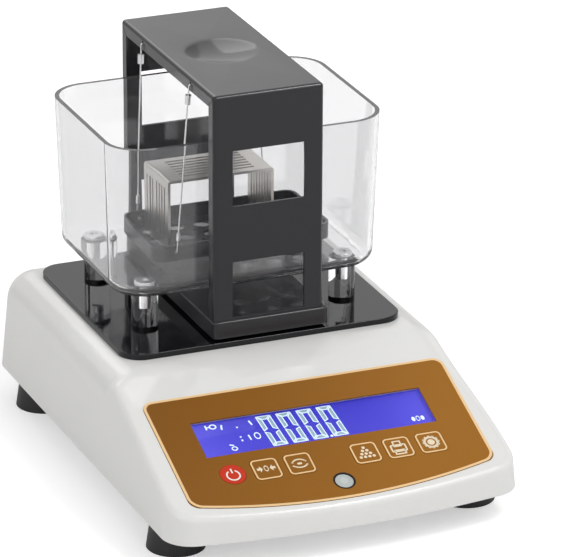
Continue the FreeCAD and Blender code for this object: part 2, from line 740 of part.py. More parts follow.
def dome(x):
    ball = (DOME_RADIUS ** 2 + DOME_HEIGHT ** 2) / (2 * DOME_HEIGHT)
    cap = Part.makeSphere(ball, V(x, -KEY_DOWN, DOME_FACE - ball))
    disc = rod(x, -KEY_DOWN, BOARD_FACE, DOME_FACE + FIT, DOME_RADIUS + FIT)
    return on_panel(cap.common(disc))


def dome_switches():
    return group([dome(x) for x in key_places().values()])


def key(name, x):
    cap = key_shape(name, x, 0, KEY_FLANGE_TOP, OVERLAY_FACE + KEY_PROUD)
    flange = key_shape(name, x, KEY_FLANGE, KEY_FLANGE_TOP - KEY_FLANGE_THICKNESS, KEY_FLANGE_TOP)
    stem = rod(x, -KEY_DOWN, KEY_STEM_END, KEY_FLANGE_TOP, KEY_STEM_RADIUS)
    return on_panel(join([cap, flange, stem]))


def level_cup():
    cup = rod(0, -LEVEL_DOWN, -LEVEL_DEPTH, OVERLAY_FACE + KEY_PROUD, LEVEL_RADIUS)
    flange = rod(0, -LEVEL_DOWN, WALL_UNDER - LEVEL_FLANGE_THICKNESS, WALL_UNDER,
                 LEVEL_RADIUS + LEVEL_FLANGE)
    hollow = rod(0, -LEVEL_DOWN, LEVEL_FLOOR - LEVEL_DEPTH, OVERRUN, LEVEL_RADIUS - LEVEL_WALL)
    return on_panel(join([cup, flange]).cut(hollow))


def level_glass():
    radius = LEVEL_RADIUS - LEVEL_WALL
    return on_panel(rod(0, -LEVEL_DOWN, LEVEL_FLOOR - LEVEL_DEPTH, OVERLAY_FACE, radius))


# Boards, leads and sockets
def standoff_places():
    xs = (MAIN_BOARD_X[0] + STANDOFF_INSET, MAIN_BOARD_X[1] - STANDOFF_INSET)
    ys = (MAIN_BOARD_Y[0] + STANDOFF_INSET, MAIN_BOARD_Y[1] - STANDOFF_INSET)
    return [(x, y) for x in xs for y in ys]


def main_board():
    under = BASE_TOP + STANDOFF_HEIGHT
    face = under + BOARD_THICKNESS
    board = box(*MAIN_BOARD_X, *MAIN_BOARD_Y, under, face)
    centre_x = sum(MAIN_BOARD_X) / 2
    centre_y = sum(MAIN_BOARD_Y) / 2
    chips = []
    for step in (-1, 0, 1):
        x = centre_x + 2 * step * CHIP_SIDE
        chips.append(box(x - CHIP_SIDE / 2, x + CHIP_SIDE / 2,
                         centre_y + CHIP_SIDE / 4, centre_y + CHIP_SIDE, face, face + CHIP_HEIGHT))
    ribbon_half = RIBBON_WIDTH / 2
    chips.append(box(RIBBON_X - ribbon_half, RIBBON_X + ribbon_half,
                     RIBBON_Y - CONNECTOR_DEPTH / 2, RIBBON_Y + CONNECTOR_DEPTH / 2,
                     face, face + CONNECTOR_HEIGHT))
    board = join([board] + chips)
    holes = [rod(x, y, under - OVERRUN, DECK_Z, BOARD_SCREW_RADIUS + RUNNING_GAP)
             for x, y in standoff_places()]
    return take(board, holes)


def board_standoffs():
    top = BASE_TOP + STANDOFF_HEIGHT
    bore = BOARD_SCREW_RADIUS + RUNNING_GAP
    return group([tube(x, y, BASE_TOP, top, STANDOFF_RADIUS, bore) for x, y in standoff_places()])


def board_screws():
    screws = []
    face = BASE_TOP + STANDOFF_HEIGHT + BOARD_THICKNESS
    for x, y in standoff_places():
        shank = rod(x, y, face - BOARD_THICKNESS - BOARD_SCREW_BITE, face, BOARD_SCREW_RADIUS)
        head = rod(x, y, face, face + BOARD_SCREW_HEAD_HEIGHT, BOARD_SCREW_HEAD_RADIUS)
        screws.append(join([shank, head]))
    for x, y in display_board_corners():
        depth = BOARD_FACE + BOARD_SCREW_BITE
        shank = rod(x, y, BOARD_UNDER, depth, BOARD_SCREW_RADIUS)
        head = rod(x, y, BOARD_UNDER - BOARD_SCREW_HEAD_HEIGHT, BOARD_UNDER, BOARD_SCREW_HEAD_RADIUS)
        screws.append(on_panel(join([shank, head])))
    return group(screws)


def ribbon_cable():
    low = BASE_TOP + STANDOFF_HEIGHT + BOARD_THICKNESS + CONNECTOR_HEIGHT
    strip = box(RIBBON_X - RIBBON_WIDTH / 2, RIBBON_X + RIBBON_WIDTH / 2,
                RIBBON_Y - RIBBON_THICKNESS / 2, RIBBON_Y + RIBBON_THICKNESS / 2, low, DECK_Z)
    half = BODY_WIDTH / 2
    above = on_panel(box(-half, half, -BODY_LENGTH, BODY_LENGTH, BOARD_UNDER - CHIP_HEIGHT, BODY_WIDTH))
    return strip.cut(above)


def cell_lead():
    """Runs along the base from the fixed end of the load cell to the main board."""
    side = CELL_WIDTH / 2
    level = BASE_TOP + RISER_HEIGHT + LEAD_BEND
    lane = side + LEAD_LANE
    start_y = PAN_Y + CELL_LENGTH / 2 - CELL_END / 2
    board_z = BASE_TOP + STANDOFF_HEIGHT + BOARD_THICKNESS / 2
    board_y = MAIN_BOARD_Y[1]
    path = [V(side, start_y, level), V(lane, start_y, level), V(lane, board_y + 2 * LEAD_RUN, level),
            V(lane, board_y + LEAD_RUN, board_z), V(lane, board_y, board_z)]
    return wire_along(path, LEAD_BEND, LEAD_RADIUS)


def dc_jack():
    z = BODY_BOTTOM + SOCKET_HEIGHT
    face = rear_face(z)
    inner = face - WALL
    nose = socket_rod(JACK_X, z, inner - JACK_FLANGE, face, JACK_RADIUS)
    body = box(JACK_X - JACK_BODY / 2, JACK_X + JACK_BODY / 2, inner - JACK_FLANGE - JACK_DEPTH,
               inner - JACK_FLANGE, z - JACK_BODY / 2, z + JACK_BODY / 2)
    bore = socket_rod(JACK_X, z, inner - JACK_DEPTH, face + OVERRUN, JACK_BORE_RADIUS)
    pin = socket_rod(JACK_X, z, inner - JACK_DEPTH - JACK_FLANGE, face - JACK_FLANGE, JACK_PIN_RADIUS)
    return join([nose, body]).cut(bore).fuse(pin).removeSplitter()


def serial_port():
    z = BODY_BOTTOM + SOCKET_HEIGHT
    face = rear_face(z + SERIAL_TALL / 2)
    inner = face - WALL - FIT
    shell_x = SERIAL_SHELL_WIDTH / 2
    shell_z = SERIAL_SHELL_TALL / 2
    shell = box(-shell_x, shell_x, inner - SERIAL_PLATE, face, z - shell_z, z + shell_z)
    plate = box(-SERIAL_WIDTH / 2, SERIAL_WIDTH / 2, inner - SERIAL_PLATE, inner,
                z - SERIAL_TALL / 2, z + SERIAL_TALL / 2)
    body = box(-shell_x, shell_x, inner - SERIAL_DEPTH, inner - SERIAL_PLATE, z - shell_z, z + shell_z)
    wall = PORT_CORNER / 2
    pocket = box(wall - shell_x, shell_x - wall, face - SERIAL_POCKET, face + OVERRUN,
                 z - shell_z + wall, z + shell_z - wall)
    return join([shell, plate, body]).cut(pocket)


# Weighing column
def fixed_screw_places():
    y = PAN_Y + CELL_LENGTH / 2 - CELL_END / 2
    return [(0, y - CELL_SCREW_SPREAD / 2), (0, y + CELL_SCREW_SPREAD / 2)]


def free_screw_places():
    y = PAN_Y - CELL_LENGTH / 2 + CELL_END / 2
    return [(0, y - CELL_SCREW_SPREAD / 2), (0, y + CELL_SCREW_SPREAD / 2)]


CELL_UNDER = BASE_TOP + RISER_HEIGHT
CELL_TOP = CELL_UNDER + CELL_HEIGHT
CARRIER_UNDER = CELL_TOP + CARRIER_GAP
CARRIER_TOP = CARRIER_UNDER + CARRIER_THICKNESS


def cell_riser():
    half = CELL_WIDTH / 2 + RISER_BORDER
    end = PAN_Y + CELL_LENGTH / 2
    riser = box(-half, half, end - CELL_END, end, BASE_TOP, CELL_UNDER)
    holes = [rod(x, y, BASE_UNDER, CELL_TOP, CELL_SCREW_RADIUS + RUNNING_GAP)
             for x, y in fixed_screw_places()]
    return take(riser, holes)


def load_cell():
    half = CELL_WIDTH / 2
    beam = box(-half, half, PAN_Y - CELL_LENGTH / 2, PAN_Y + CELL_LENGTH / 2, CELL_UNDER, CELL_TOP)
    middle = (CELL_UNDER + CELL_TOP) / 2
    cuts = []
    for side in (-1, 1):
        y = PAN_Y + side * CELL_HOLE_SPREAD / 2
        cuts.append(Part.makeCylinder(CELL_HOLE_RADIUS, CELL_WIDTH + 2 * OVERRUN,
                                      V(-half - OVERRUN, y, middle), V(1, 0, 0)))
    cuts.append(box(-half - OVERRUN, half + OVERRUN, PAN_Y - CELL_HOLE_SPREAD / 2,
                    PAN_Y + CELL_HOLE_SPREAD / 2, middle - CELL_SLOT / 2, middle + CELL_SLOT / 2))
    for x, y in fixed_screw_places():
        cuts.append(rod(x, y, CELL_UNDER - FIT, CELL_UNDER + CELL_SCREW_BITE + FIT,
                        CELL_SCREW_RADIUS + RUNNING_GAP))
    for x, y in free_screw_places():
        low = CELL_TOP - CELL_SCREW_BITE - PAN_DIP - AIR_GAP
        cuts.append(rod(x, y, low, CELL_TOP + FIT, CELL_SCREW_RADIUS + RUNNING_GAP))
    return take(beam, cuts)


def cell_fixed_screws():
    screws = []
    for x, y in fixed_screw_places():
        head = rod(x, y, BASE_UNDER, BASE_UNDER + SCREW_HEAD_HEIGHT, 2 * CELL_SCREW_RADIUS)
        shank = rod(x, y, BASE_UNDER, CELL_UNDER + CELL_SCREW_BITE, CELL_SCREW_RADIUS)
        screws.append(join([head, shank]))
    return group(screws)


def cell_free_screws():
    screws = []
    for x, y in free_screw_places():
        head = rod(x, y, CARRIER_TOP, CARRIER_TOP + SCREW_HEAD_HEIGHT, 2 * CELL_SCREW_RADIUS)
        shank = rod(x, y, CELL_TOP - CELL_SCREW_BITE, CARRIER_TOP, CELL_SCREW_RADIUS)
        screws.append(join([head, shank]))
    return group(screws)


def pan_carrier():
    reach = POST_Y + CARRIER_ARM / 2
    spine = box(-CARRIER_SPINE / 2, CARRIER_SPINE / 2, PAN_Y - reach, PAN_Y + reach,
                CARRIER_UNDER, CARRIER_TOP)
    parts = [spine]
    for side in (-1, 1):
        y = PAN_Y + side * POST_Y
        parts.append(box(-CARRIER_ARM_REACH, CARRIER_ARM_REACH, y - CARRIER_ARM / 2, y + CARRIER_ARM / 2,
                         CARRIER_UNDER, CARRIER_TOP))
    end = PAN_Y - CELL_LENGTH / 2
    parts.append(box(-CELL_WIDTH / 2, CELL_WIDTH / 2, end, end + CELL_END, CELL_TOP, CARRIER_UNDER))
    holes = [rod(x, y, CELL_TOP - FIT, CARRIER_TOP + FIT, CELL_SCREW_RADIUS + RUNNING_GAP)
             for x, y in free_screw_places()]
    return take(join(parts), holes)


def pan_posts():
    return group([rod(x, y, CARRIER_TOP, PAN_TOP - PAN_SHEET, POST_RADIUS) for x, y in post_places()])


def overload_stops():
    stops = []
    top = CARRIER_UNDER - PAN_DIP - STOP_GAP
    for x, y in post_places():
        stud = rod(x, y, BASE_TOP, top, STOP_RADIUS)
        points = [V(x + STOP_HEX_RADIUS * math.cos(math.radians(60 * k)),
                    y + STOP_HEX_RADIUS * math.sin(math.radians(60 * k)), BASE_TOP) for k in range(7)]
        nut = Part.Face(Part.makePolygon(points)).extrude(V(0, 0, STOP_HEX_HEIGHT))
        stops.append(join([stud, nut]))
    return group(stops)


# Deck plate, pan and portal
def deck_plate():
    plate = round_slab(0, PAN_Y, PLATE_WIDTH / 2, PLATE_LENGTH / 2, PLATE_CORNER, DECK_Z, PLATE_TOP)
    plate = plate.makeFillet(PLATE_EDGE, edges_at(plate, PLATE_TOP, FIT))
    return take(plate, [rod(x, y, DECK_Z - FIT, PLATE_TOP + FIT, POST_HOLE_RADIUS)
                        for x, y in post_places()])


def weigh_pan():
    outer = round_slab(PAN_OFFSET_X, PAN_Y, PAN_WIDTH / 2, PAN_LENGTH / 2, PAN_CORNER, PAN_UNDER, PAN_TOP)
    outer = outer.makeFillet(PAN_EDGE, edges_at(outer, PAN_TOP, FIT))
    inner = round_slab(PAN_OFFSET_X, PAN_Y, PAN_WIDTH / 2 - PAN_SHEET, PAN_LENGTH / 2 - PAN_SHEET,
                       PAN_CORNER - PAN_SHEET / 2, PAN_UNDER - OVERRUN, PAN_TOP - PAN_SHEET)
    under = PAN_TOP - PAN_SHEET
    bore = POST_RADIUS + AIR_GAP
    sockets = [tube(x, y, under - SOCKET_TUBE_LENGTH, under, bore + SOCKET_TUBE_WALL, bore)
               for x, y in post_places()]
    return join([outer.cut(inner)] + sockets)


def mitre_slits():
    """The slits where the top's flanges meet the walls' flanges, from each bend to the inner corner."""
    slits = []
    reach = PORTAL_FLANGE * math.sqrt(2)
    for side_x in (-1, 1):
        inner = PORTAL_OFFSET_X + side_x * (PORTAL_WIDTH / 2 - PORTAL_SHEET)
        outer = PORTAL_OFFSET_X + side_x * (PORTAL_WIDTH / 2 + OVERRUN)
        for side_y in (-1, 1):
            corner = V(0, PAN_Y + side_y * PORTAL_LENGTH / 2, PORTAL_TOP)
            slit = box(min(inner, outer), max(inner, outer), corner.y - MITRE_SLIT / 2,
                       corner.y + MITRE_SLIT / 2, PORTAL_TOP - reach - MITRE_SLIT, PORTAL_TOP - PORTAL_BEND)
            slit.rotate(corner, V(1, 0, 0), -side_y * math.degrees(math.pi / 4))
            slits.append(slit)
    return slits


def portal_frame():
    """One bent sheet: top, two walls with windows, and a flange turned in along both open sides."""
    left = PORTAL_OFFSET_X - PORTAL_WIDTH / 2
    right = PORTAL_OFFSET_X + PORTAL_WIDTH / 2
    half_y = PORTAL_LENGTH / 2
    outer = box(left, right, PAN_Y - half_y, PAN_Y + half_y, PAN_TOP, PORTAL_TOP)
    outer = outer.makeFillet(PORTAL_BEND, edges_at(outer, PORTAL_TOP, FIT) + upright_edges(outer))
    in_y = half_y - PORTAL_SHEET
    inner = box(left + PORTAL_SHEET, right - PORTAL_SHEET, PAN_Y - in_y, PAN_Y + in_y,
                PAN_TOP - OVERRUN, PORTAL_TOP - PORTAL_SHEET)
    pass_y = half_y - PORTAL_FLANGE
    passage = box(left - OVERRUN, right + OVERRUN, PAN_Y - pass_y, PAN_Y + pass_y,
                  PAN_TOP - OVERRUN, PORTAL_TOP - PORTAL_FLANGE)
    ball = (DISH_RADIUS ** 2 + DISH_DEPTH ** 2) / (2 * DISH_DEPTH)
    ball_centre = V(PORTAL_OFFSET_X, PAN_Y, PORTAL_TOP - DISH_DEPTH + ball)
    under = Part.makeSphere(ball + PORTAL_SHEET, ball_centre)
    rim = DISH_RADIUS + PORTAL_SHEET
    disc = rod(PORTAL_OFFSET_X, PAN_Y, PORTAL_TOP - PORTAL_FLANGE, PORTAL_TOP - PORTAL_SHEET / 2, rim)
    bulge = under.common(disc)
    sheet = join([take(outer, [inner, passage]), bulge])
    cuts = [Part.makeSphere(ball, ball_centre)]
    for low in (PAN_TOP + WINDOW_SILL, PAN_TOP + WINDOW_SILL + WINDOW_HEIGHT + WINDOW_BAND):
        cuts.append(box(PORTAL_OFFSET_X - WINDOW_WIDTH / 2, PORTAL_OFFSET_X + WINDOW_WIDTH / 2,
                        PAN_Y - half_y - OVERRUN, PAN_Y + half_y + OVERRUN, low, low + WINDOW_HEIGHT))
    hook_z = PORTAL_TOP - HOOK_DROP + HOOK_HOLE_RADIUS - WIRE_RADIUS - RUNNING_GAP
    for side in (-1, 1):
        cuts.append(Part.makeCylinder(HOOK_HOLE_RADIUS, PORTAL_WIDTH + 2 * OVERRUN,
                                      V(left - OVERRUN, PAN_Y + side * HANGER_TOP_Y, hook_z), V(1, 0, 0)))
    return take(sheet, cuts + mitre_slits())


# Hangers, tray and sample bridge
def hanger_points(side_x, side_y):
    """Down one hanger: inside the flange, out through its hole, down to the tray and in again."""
    top_z = PORTAL_TOP - HOOK_DROP
    low_z = TRAY_TOP - TRAY_HOOK_DROP
    half = PORTAL_WIDTH / 2
    top_y = PAN_Y + side_y * HANGER_TOP_Y
    wall_y = PAN_Y + side_y * TRAY_DEPTH / 2
    inner_x = PORTAL_OFFSET_X + side_x * (half - WIRE_TAIL)
    outer_x = PORTAL_OFFSET_X + side_x * (half + WIRE_OUT)
    low_x = PORTAL_OFFSET_X + side_x * HANGER_BOTTOM_X
    return [V(inner_x, top_y, top_z), V(outer_x, top_y, top_z),
            V(low_x, wall_y + side_y * TRAY_WIRE_OUT, low_z), V(low_x, wall_y - side_y * WIRE_TAIL, low_z)]


def hanger_wire(side_x, side_y):
    return wire_along(hanger_points(side_x, side_y), WIRE_BEND, WIRE_RADIUS)


def ferrule(side_x, side_y, radius, length, from_top):
    _, top, low, _ = hanger_points(side_x, side_y)
    down = (low - top).normalize()
    start = top + down * from_top
    sleeve = Part.makeCylinder(radius, length, start, down)
    return sleeve.cut(Part.makeCylinder(WIRE_RADIUS, length + 2 * OVERRUN, start - down * OVERRUN, down))


def ferrules(side_y):
    sleeves = []
    for side_x in (-1, 1):
        _, top, low, _ = hanger_points(side_x, side_y)
        span = (low - top).Length
        sleeves.append(ferrule(side_x, side_y, FERRULE_RADIUS, FERRULE_LENGTH, FERRULE_TOP_DROP))
        sleeves.append(ferrule(side_x, side_y, FERRULE_LOW_RADIUS, FERRULE_LOW_LENGTH,
                               span - FERRULE_LOW_RISE - FERRULE_LOW_LENGTH))
    return group(sleeves)


def tray_hole_places():
    places = []
    for column in range(TRAY_HOLE_COLUMNS):
        for row in range(TRAY_HOLE_ROWS):
            x = TRAY_OFFSET_X + (column - (TRAY_HOLE_COLUMNS - 1) / 2) * TRAY_HOLE_PITCH_X
            y = (row - (TRAY_HOLE_ROWS - 1) / 2) * TRAY_HOLE_PITCH_Y
            places.append((x, PAN_Y + y))
    return places


def hanging_tray():
    half_x = TRAY_LENGTH / 2
    half_y = TRAY_DEPTH / 2
    outer = round_slab(TRAY_OFFSET_X, PAN_Y, half_x, half_y, TRAY_CORNER, TRAY_BOTTOM, TRAY_TOP)
    inner = round_slab(TRAY_OFFSET_X, PAN_Y, half_x - TRAY_SHEET, half_y - TRAY_SHEET,
                       TRAY_CORNER - TRAY_SHEET, TRAY_BOTTOM + TRAY_SHEET, TRAY_TOP + OVERRUN)
    cuts = [inner]
    low = TRAY_BOTTOM - OVERRUN
    high = TRAY_BOTTOM + TRAY_SHEET + FIT
    for x, y in tray_hole_places():
        cuts.append(rod(x, y, low, high, TRAY_HOLE_RADIUS))
    for x, y in tray_hole_places():
        inside = x + TRAY_HOLE_PITCH_X / 2
        last_row = y > PAN_Y + (TRAY_HOLE_ROWS - 1.5) / 2 * TRAY_HOLE_PITCH_Y
        if inside < TRAY_OFFSET_X + half_x - TRAY_CORNER and not last_row:
            cuts.append(rod(inside, y + TRAY_HOLE_PITCH_Y / 2, low, high, TRAY_PIN_HOLE_RADIUS))
    hook_z = TRAY_TOP - TRAY_HOOK_DROP - HOOK_HOLE_RADIUS + WIRE_RADIUS + TRAY_HOOK_GAP
    for side in (-1, 1):
        start = V(PORTAL_OFFSET_X + side * HANGER_BOTTOM_X, PAN_Y - half_y - OVERRUN, hook_z)
        cuts.append(Part.makeCylinder(HOOK_HOLE_RADIUS, TRAY_DEPTH + 2 * OVERRUN, start, V(0, 1, 0)))
    return take(outer, cuts)


def sample_bridge():
    """A sheet bent twice, with one row of slots over its top and down both legs."""
    floor = TRAY_BOTTOM + TRAY_SHEET
    top = floor + BRIDGE_HEIGHT
    x0 = BRIDGE_OFFSET_X - BRIDGE_LENGTH / 2
    x1 = BRIDGE_OFFSET_X + BRIDGE_LENGTH / 2
    y0 = PAN_Y - BRIDGE_DEPTH / 2
    y1 = PAN_Y + BRIDGE_DEPTH / 2
    outer = box(x0, x1, y0, y1, floor, top)
    bends = [e for e in edges_at(outer, top, FIT) if edge_spans(e)[1] > edge_spans(e)[0]]
    outer = outer.makeFillet(BRIDGE_BEND, bends)
    inner = box(x0 + BRIDGE_SHEET, x1 - BRIDGE_SHEET, y0 - OVERRUN, y1 + OVERRUN, floor - OVERRUN,
                top - BRIDGE_SHEET)
    cuts = [inner]
    for index in range(BRIDGE_SLOTS):
        y = PAN_Y + (index - (BRIDGE_SLOTS - 1) / 2) * BRIDGE_SLOT_PITCH
        near = y - BRIDGE_SLOT / 2
        far = y + BRIDGE_SLOT / 2
        cuts.append(box(x0 + BRIDGE_TOP_MARGIN, x1 - BRIDGE_TOP_MARGIN, near, far, top - 2 * BRIDGE_SHEET,
                        top + OVERRUN))
        cuts.append(box(x0 - OVERRUN, x1 + OVERRUN, near, far, floor + BRIDGE_SLOT_MARGIN,
                        top - BRIDGE_SLOT_MARGIN))
    return take(outer, cuts)


# Water tank
def tank_loft(inset, z0, z1):
    """The tank's tapered form between two levels, drawn in from its outside by the inset."""
    wires = []
    for z in (z0, z1):
        taper = (TANK_TOP - z) / TANK_HEIGHT
        half_x = TANK_WIDTH / 2 - taper * TANK_TAPER_X - inset
        half_y = TANK_LENGTH / 2 - taper * TANK_TAPER_Y - inset
        wires.append(round_wire(TANK_OFFSET_X, PAN_Y, half_x, half_y, TANK_CORNER - inset, z))
    return Part.makeLoft(wires, True, True)


def water_tank():
    outer = tank_loft(0, TANK_BOTTOM, TANK_TOP)
    outer = outer.makeFillet(TANK_EDGE, edges_at(outer, TANK_BOTTOM, FIT))
    inner = tank_loft(TANK_WALL, TANK_BOTTOM + TANK_FLOOR, TANK_TOP + OVERRUN)
    inner = inner.makeFillet(TANK_EDGE - TANK_WALL, edges_at(inner, TANK_BOTTOM + TANK_FLOOR, FIT))
    holes = [rod(x, y, TANK_BOTTOM - FIT, TANK_BOTTOM + TANK_FLOOR + FIT, LEG_SCREW_RADIUS + RUNNING_GAP)
             for x, y in leg_places().values()]
    return take(outer, [inner] + holes)


def leg_places():
    return {name: (sx * LEG_X, PAN_Y + sy * LEG_Y) for name, (sx, sy) in CORNERS.items()}


def tank_leg(x, y):
    leg = rod(x, y, PLATE_TOP, TANK_BOTTOM, LEG_RADIUS)
    return leg.cut(rod(x, y, TANK_BOTTOM - LEG_SCREW_BITE - FIT, TANK_BOTTOM + FIT,
                       LEG_SCREW_RADIUS + RUNNING_GAP))


def leg_seals():
    floor = TANK_BOTTOM + TANK_FLOOR
    bore = LEG_SCREW_RADIUS + RUNNING_GAP
    return group([tube(x, y, floor, floor + SEAL_THICKNESS, LEG_SCREW_HEAD_RADIUS - FIT, bore)
                  for x, y in leg_places().values()])


def leg_screws():
    screws = []
    seat = TANK_BOTTOM + TANK_FLOOR + SEAL_THICKNESS
    for x, y in leg_places().values():
        head = rod(x, y, seat, seat + LEG_SCREW_HEAD, LEG_SCREW_HEAD_RADIUS)
        head = head.makeFillet(LEG_SCREW_HEAD / 2, edges_at(head, seat + LEG_SCREW_HEAD, FIT))
        shank = rod(x, y, TANK_BOTTOM - LEG_SCREW_BITE, seat + FIT, LEG_SCREW_RADIUS)
        recess = rod(x, y, seat + LEG_SCREW_HEAD / 2, seat + LEG_SCREW_HEAD + FIT, LEG_SCREW_RADIUS)
        screws.append(join([head, shank]).cut(recess))
    return group(screws)


def pieces():
    """Every piece of the object, by name."""
    made = {
        "upper_housing": upper_housing(), "lower_housing": lower_housing(),
        "housing_screws": housing_screws(), "foot_inserts": foot_inserts(),
        "deck_plate": deck_plate(), "panel_overlay": panel_overlay(),
        "display_window": display_window(), "lcd_module": lcd_module(), "backlight": backlight(),
        "display_board": display_board(), "dome_switches": dome_switches(),
        "level_cup": level_cup(), "level_glass": level_glass(),
        "main_board": main_board(), "board_standoffs": board_standoffs(), "board_screws": board_screws(),
        "ribbon_cable": ribbon_cable(), "cell_lead": cell_lead(),
        "dc_jack": dc_jack(), "serial_port": serial_port(),
        "cell_riser": cell_riser(), "load_cell": load_cell(),
        "cell_fixed_screws": cell_fixed_screws(), "cell_free_screws": cell_free_screws(),
        "pan_carrier": pan_carrier(), "pan_posts": pan_posts(), "overload_stops": overload_stops(),
        "weigh_pan": weigh_pan(), "portal_frame": portal_frame(),
        "front_ferrules": ferrules(-1), "rear_ferrules": ferrules(1),
        "hanging_tray": hanging_tray(), "sample_bridge": sample_bridge(),
        "water_tank": water_tank(), "leg_screws": leg_screws(), "leg_seals": leg_seals(),
    }
    for name, x in key_places().items():
        made["key_" + name] = key(name, x)
    for name, (sx, sy) in CORNERS.items():
        made["hanger_wire_" + name] = hanger_wire(sx, sy)
    for name, (x, y) in leg_places().items():
        made["tank_leg_" + name] = tank_leg(x, y)
    for name, (x, y) in foot_places().items():
        made["foot_" + name] = foot(x, y)
        made["foot_stem_" + name] = foot_stem(x, y)
    return made


def main():
    os.makedirs("parts", exist_ok=True)
    for name, shape in pieces().items():
        solids = shape.Solids
        sound = all(solid.isValid() and solid.Volume > 0 for solid in solids)
        volume = round(sum(solid.Volume for solid in solids), 1)
        print(name, len(solids), "solids", volume, "sound" if sound else "UNSOUND")
        shape.exportStep("parts/" + name + ".step")


main()
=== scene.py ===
"""Dresses the packed gold tester for its studio view."""

import json
import logging
import math
from contextlib import contextmanager
from dataclasses import dataclass, field
from enum import Enum
from typing import Callable, Iterator

import bpy
from mathutils import Matrix, Vector

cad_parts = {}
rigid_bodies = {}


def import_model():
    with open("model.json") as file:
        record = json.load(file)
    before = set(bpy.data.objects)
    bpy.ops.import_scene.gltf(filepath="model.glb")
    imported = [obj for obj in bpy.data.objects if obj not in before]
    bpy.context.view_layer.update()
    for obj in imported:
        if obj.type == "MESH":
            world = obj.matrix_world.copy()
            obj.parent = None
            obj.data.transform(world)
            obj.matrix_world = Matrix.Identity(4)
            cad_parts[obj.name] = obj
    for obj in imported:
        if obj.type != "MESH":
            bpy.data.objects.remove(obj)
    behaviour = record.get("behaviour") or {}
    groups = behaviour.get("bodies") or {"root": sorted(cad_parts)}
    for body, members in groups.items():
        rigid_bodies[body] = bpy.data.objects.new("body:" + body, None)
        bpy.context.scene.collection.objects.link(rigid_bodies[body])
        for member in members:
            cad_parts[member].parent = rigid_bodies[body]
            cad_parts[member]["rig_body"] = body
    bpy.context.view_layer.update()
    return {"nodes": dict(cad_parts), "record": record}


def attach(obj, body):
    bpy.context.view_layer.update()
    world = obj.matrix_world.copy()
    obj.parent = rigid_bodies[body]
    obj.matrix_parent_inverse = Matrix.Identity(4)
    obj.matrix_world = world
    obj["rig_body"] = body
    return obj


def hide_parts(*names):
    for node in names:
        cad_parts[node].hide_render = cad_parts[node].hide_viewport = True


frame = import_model()

MM = 0.001
LOG = logging.getLogger("gold_tester")

# The panel's own plane: X across, Y up the slope from the overlay's upper edge, Z outwards
PANEL_ANGLE = math.radians(21.5)
PANEL_TOP = Vector((0.0, -51.1, 60.3)) * MM
PANEL_PLACE = Matrix.Translation(PANEL_TOP) @ Matrix.Rotation(PANEL_ANGLE, 4, "X")
INK_THICKNESS = 0.06 * MM
KEY_FACE = 0.4 * MM
MERGE_DISTANCE = 0.002 * MM
WHITE = (1.0, 1.0, 1.0, 1.0)

# The sharpest angle, in degrees, that is shaded smooth
FLAT_ANGLE = 30.0
CLEAR_ANGLE = 40.0
WIRE_ANGLE = 50.0

CORNERS = ("front_left", "front_right", "rear_left", "rear_right")

# The display's small marks, from the panel's upper middle in millimetres
MARK_RINGS = (  # x, y, outer radius, line, squeeze
    (54.9, -37.7, 1.85, 0.55, 0.6),
    (-50.6, -21.2, 1.75, 0.65, 1.15),
    (-30.4, -31.9, 2.4, 0.7, 0.72),
    (-44.9, -38.2, 1.5, 0.55, 1.1),
)
MARK_DISCS = (  # x, y, radius, squeeze
    (6.8, -40.1, 0.75, 1.0),
    (52.4, -37.7, 1.6, 0.6),
    (57.4, -37.7, 1.6, 0.6),
)
MARK_SLABS = (  # x, y, width, height, turn
    (-54.3, -21.2, 0.8, 3.2, 0.0),
    (-53.4, -21.2, 2.0, 0.7, 0.0),
    (-46.3, -22.5, 0.9, 3.3, -0.25),
    (-38.5, -24.1, 0.9, 0.9, 0.0),
    (-30.75, -22.4, 0.9, 3.3, 0.25),
    (-39.1, -31.0, 0.9, 0.9, 0.0),
    (-39.1, -33.5, 0.9, 1.2, 0.0),
    (-34.6, -32.25, 0.8, 3.7, 0.1),
    (-45.6, -35.6, 2.4, 0.7, -0.3),
)


class Axis(Enum):
    """The direction that a brushed finish runs in."""

    X = (1.0, 60.0, 60.0)
    Z = (60.0, 60.0, 1.0)


class Signal:
    """A shader socket that takes part in Python sums."""

    def __init__(self, sheet: "NodeSheet", socket: bpy.types.NodeSocket) -> None:
        """Keeps the sheet that new nodes go to.

        Args:
            sheet: the node sheet that holds the socket.
            socket: the output socket that carries the value.
        """
        self.sheet = sheet
        self.socket = socket

    def maths(self, operation: str, first: object, second: object = 0.0) -> "Signal":
        """Adds one Math node.

        Args:
            operation: the Math node's operation.
            first: a number or Signal.
            second: a number or Signal.

        Returns:
            The node's output.
        """
        return self.sheet.add("ShaderNodeMath", {"operation": operation}, {0: first, 1: second})

    def __add__(self, other: object) -> "Signal":
        """Adds a value."""
        return self.maths("ADD", self, other)

    __radd__ = __add__

    def __sub__(self, other: object) -> "Signal":
        """Takes a value away."""
        return self.maths("SUBTRACT", self, other)

    def __rsub__(self, other: object) -> "Signal":
        """Takes this signal from a value."""
        return self.maths("SUBTRACT", other, self)

    def __mul__(self, other: object) -> "Signal":
        """Multiplies by a value."""
        return self.maths("MULTIPLY", self, other)

    __rmul__ = __mul__

    def __abs__(self) -> "Signal":
        """The signal without its sign."""
        return self.maths("ABSOLUTE", self)

    def above(self, level: float) -> "Signal":
        """One where the signal is over a level, and nought elsewhere."""
        return self.maths("GREATER_THAN", self, level)

    def either(self, other: "Signal") -> "Signal":
        """The larger of two signals."""
        return self.maths("MAXIMUM", self, other)


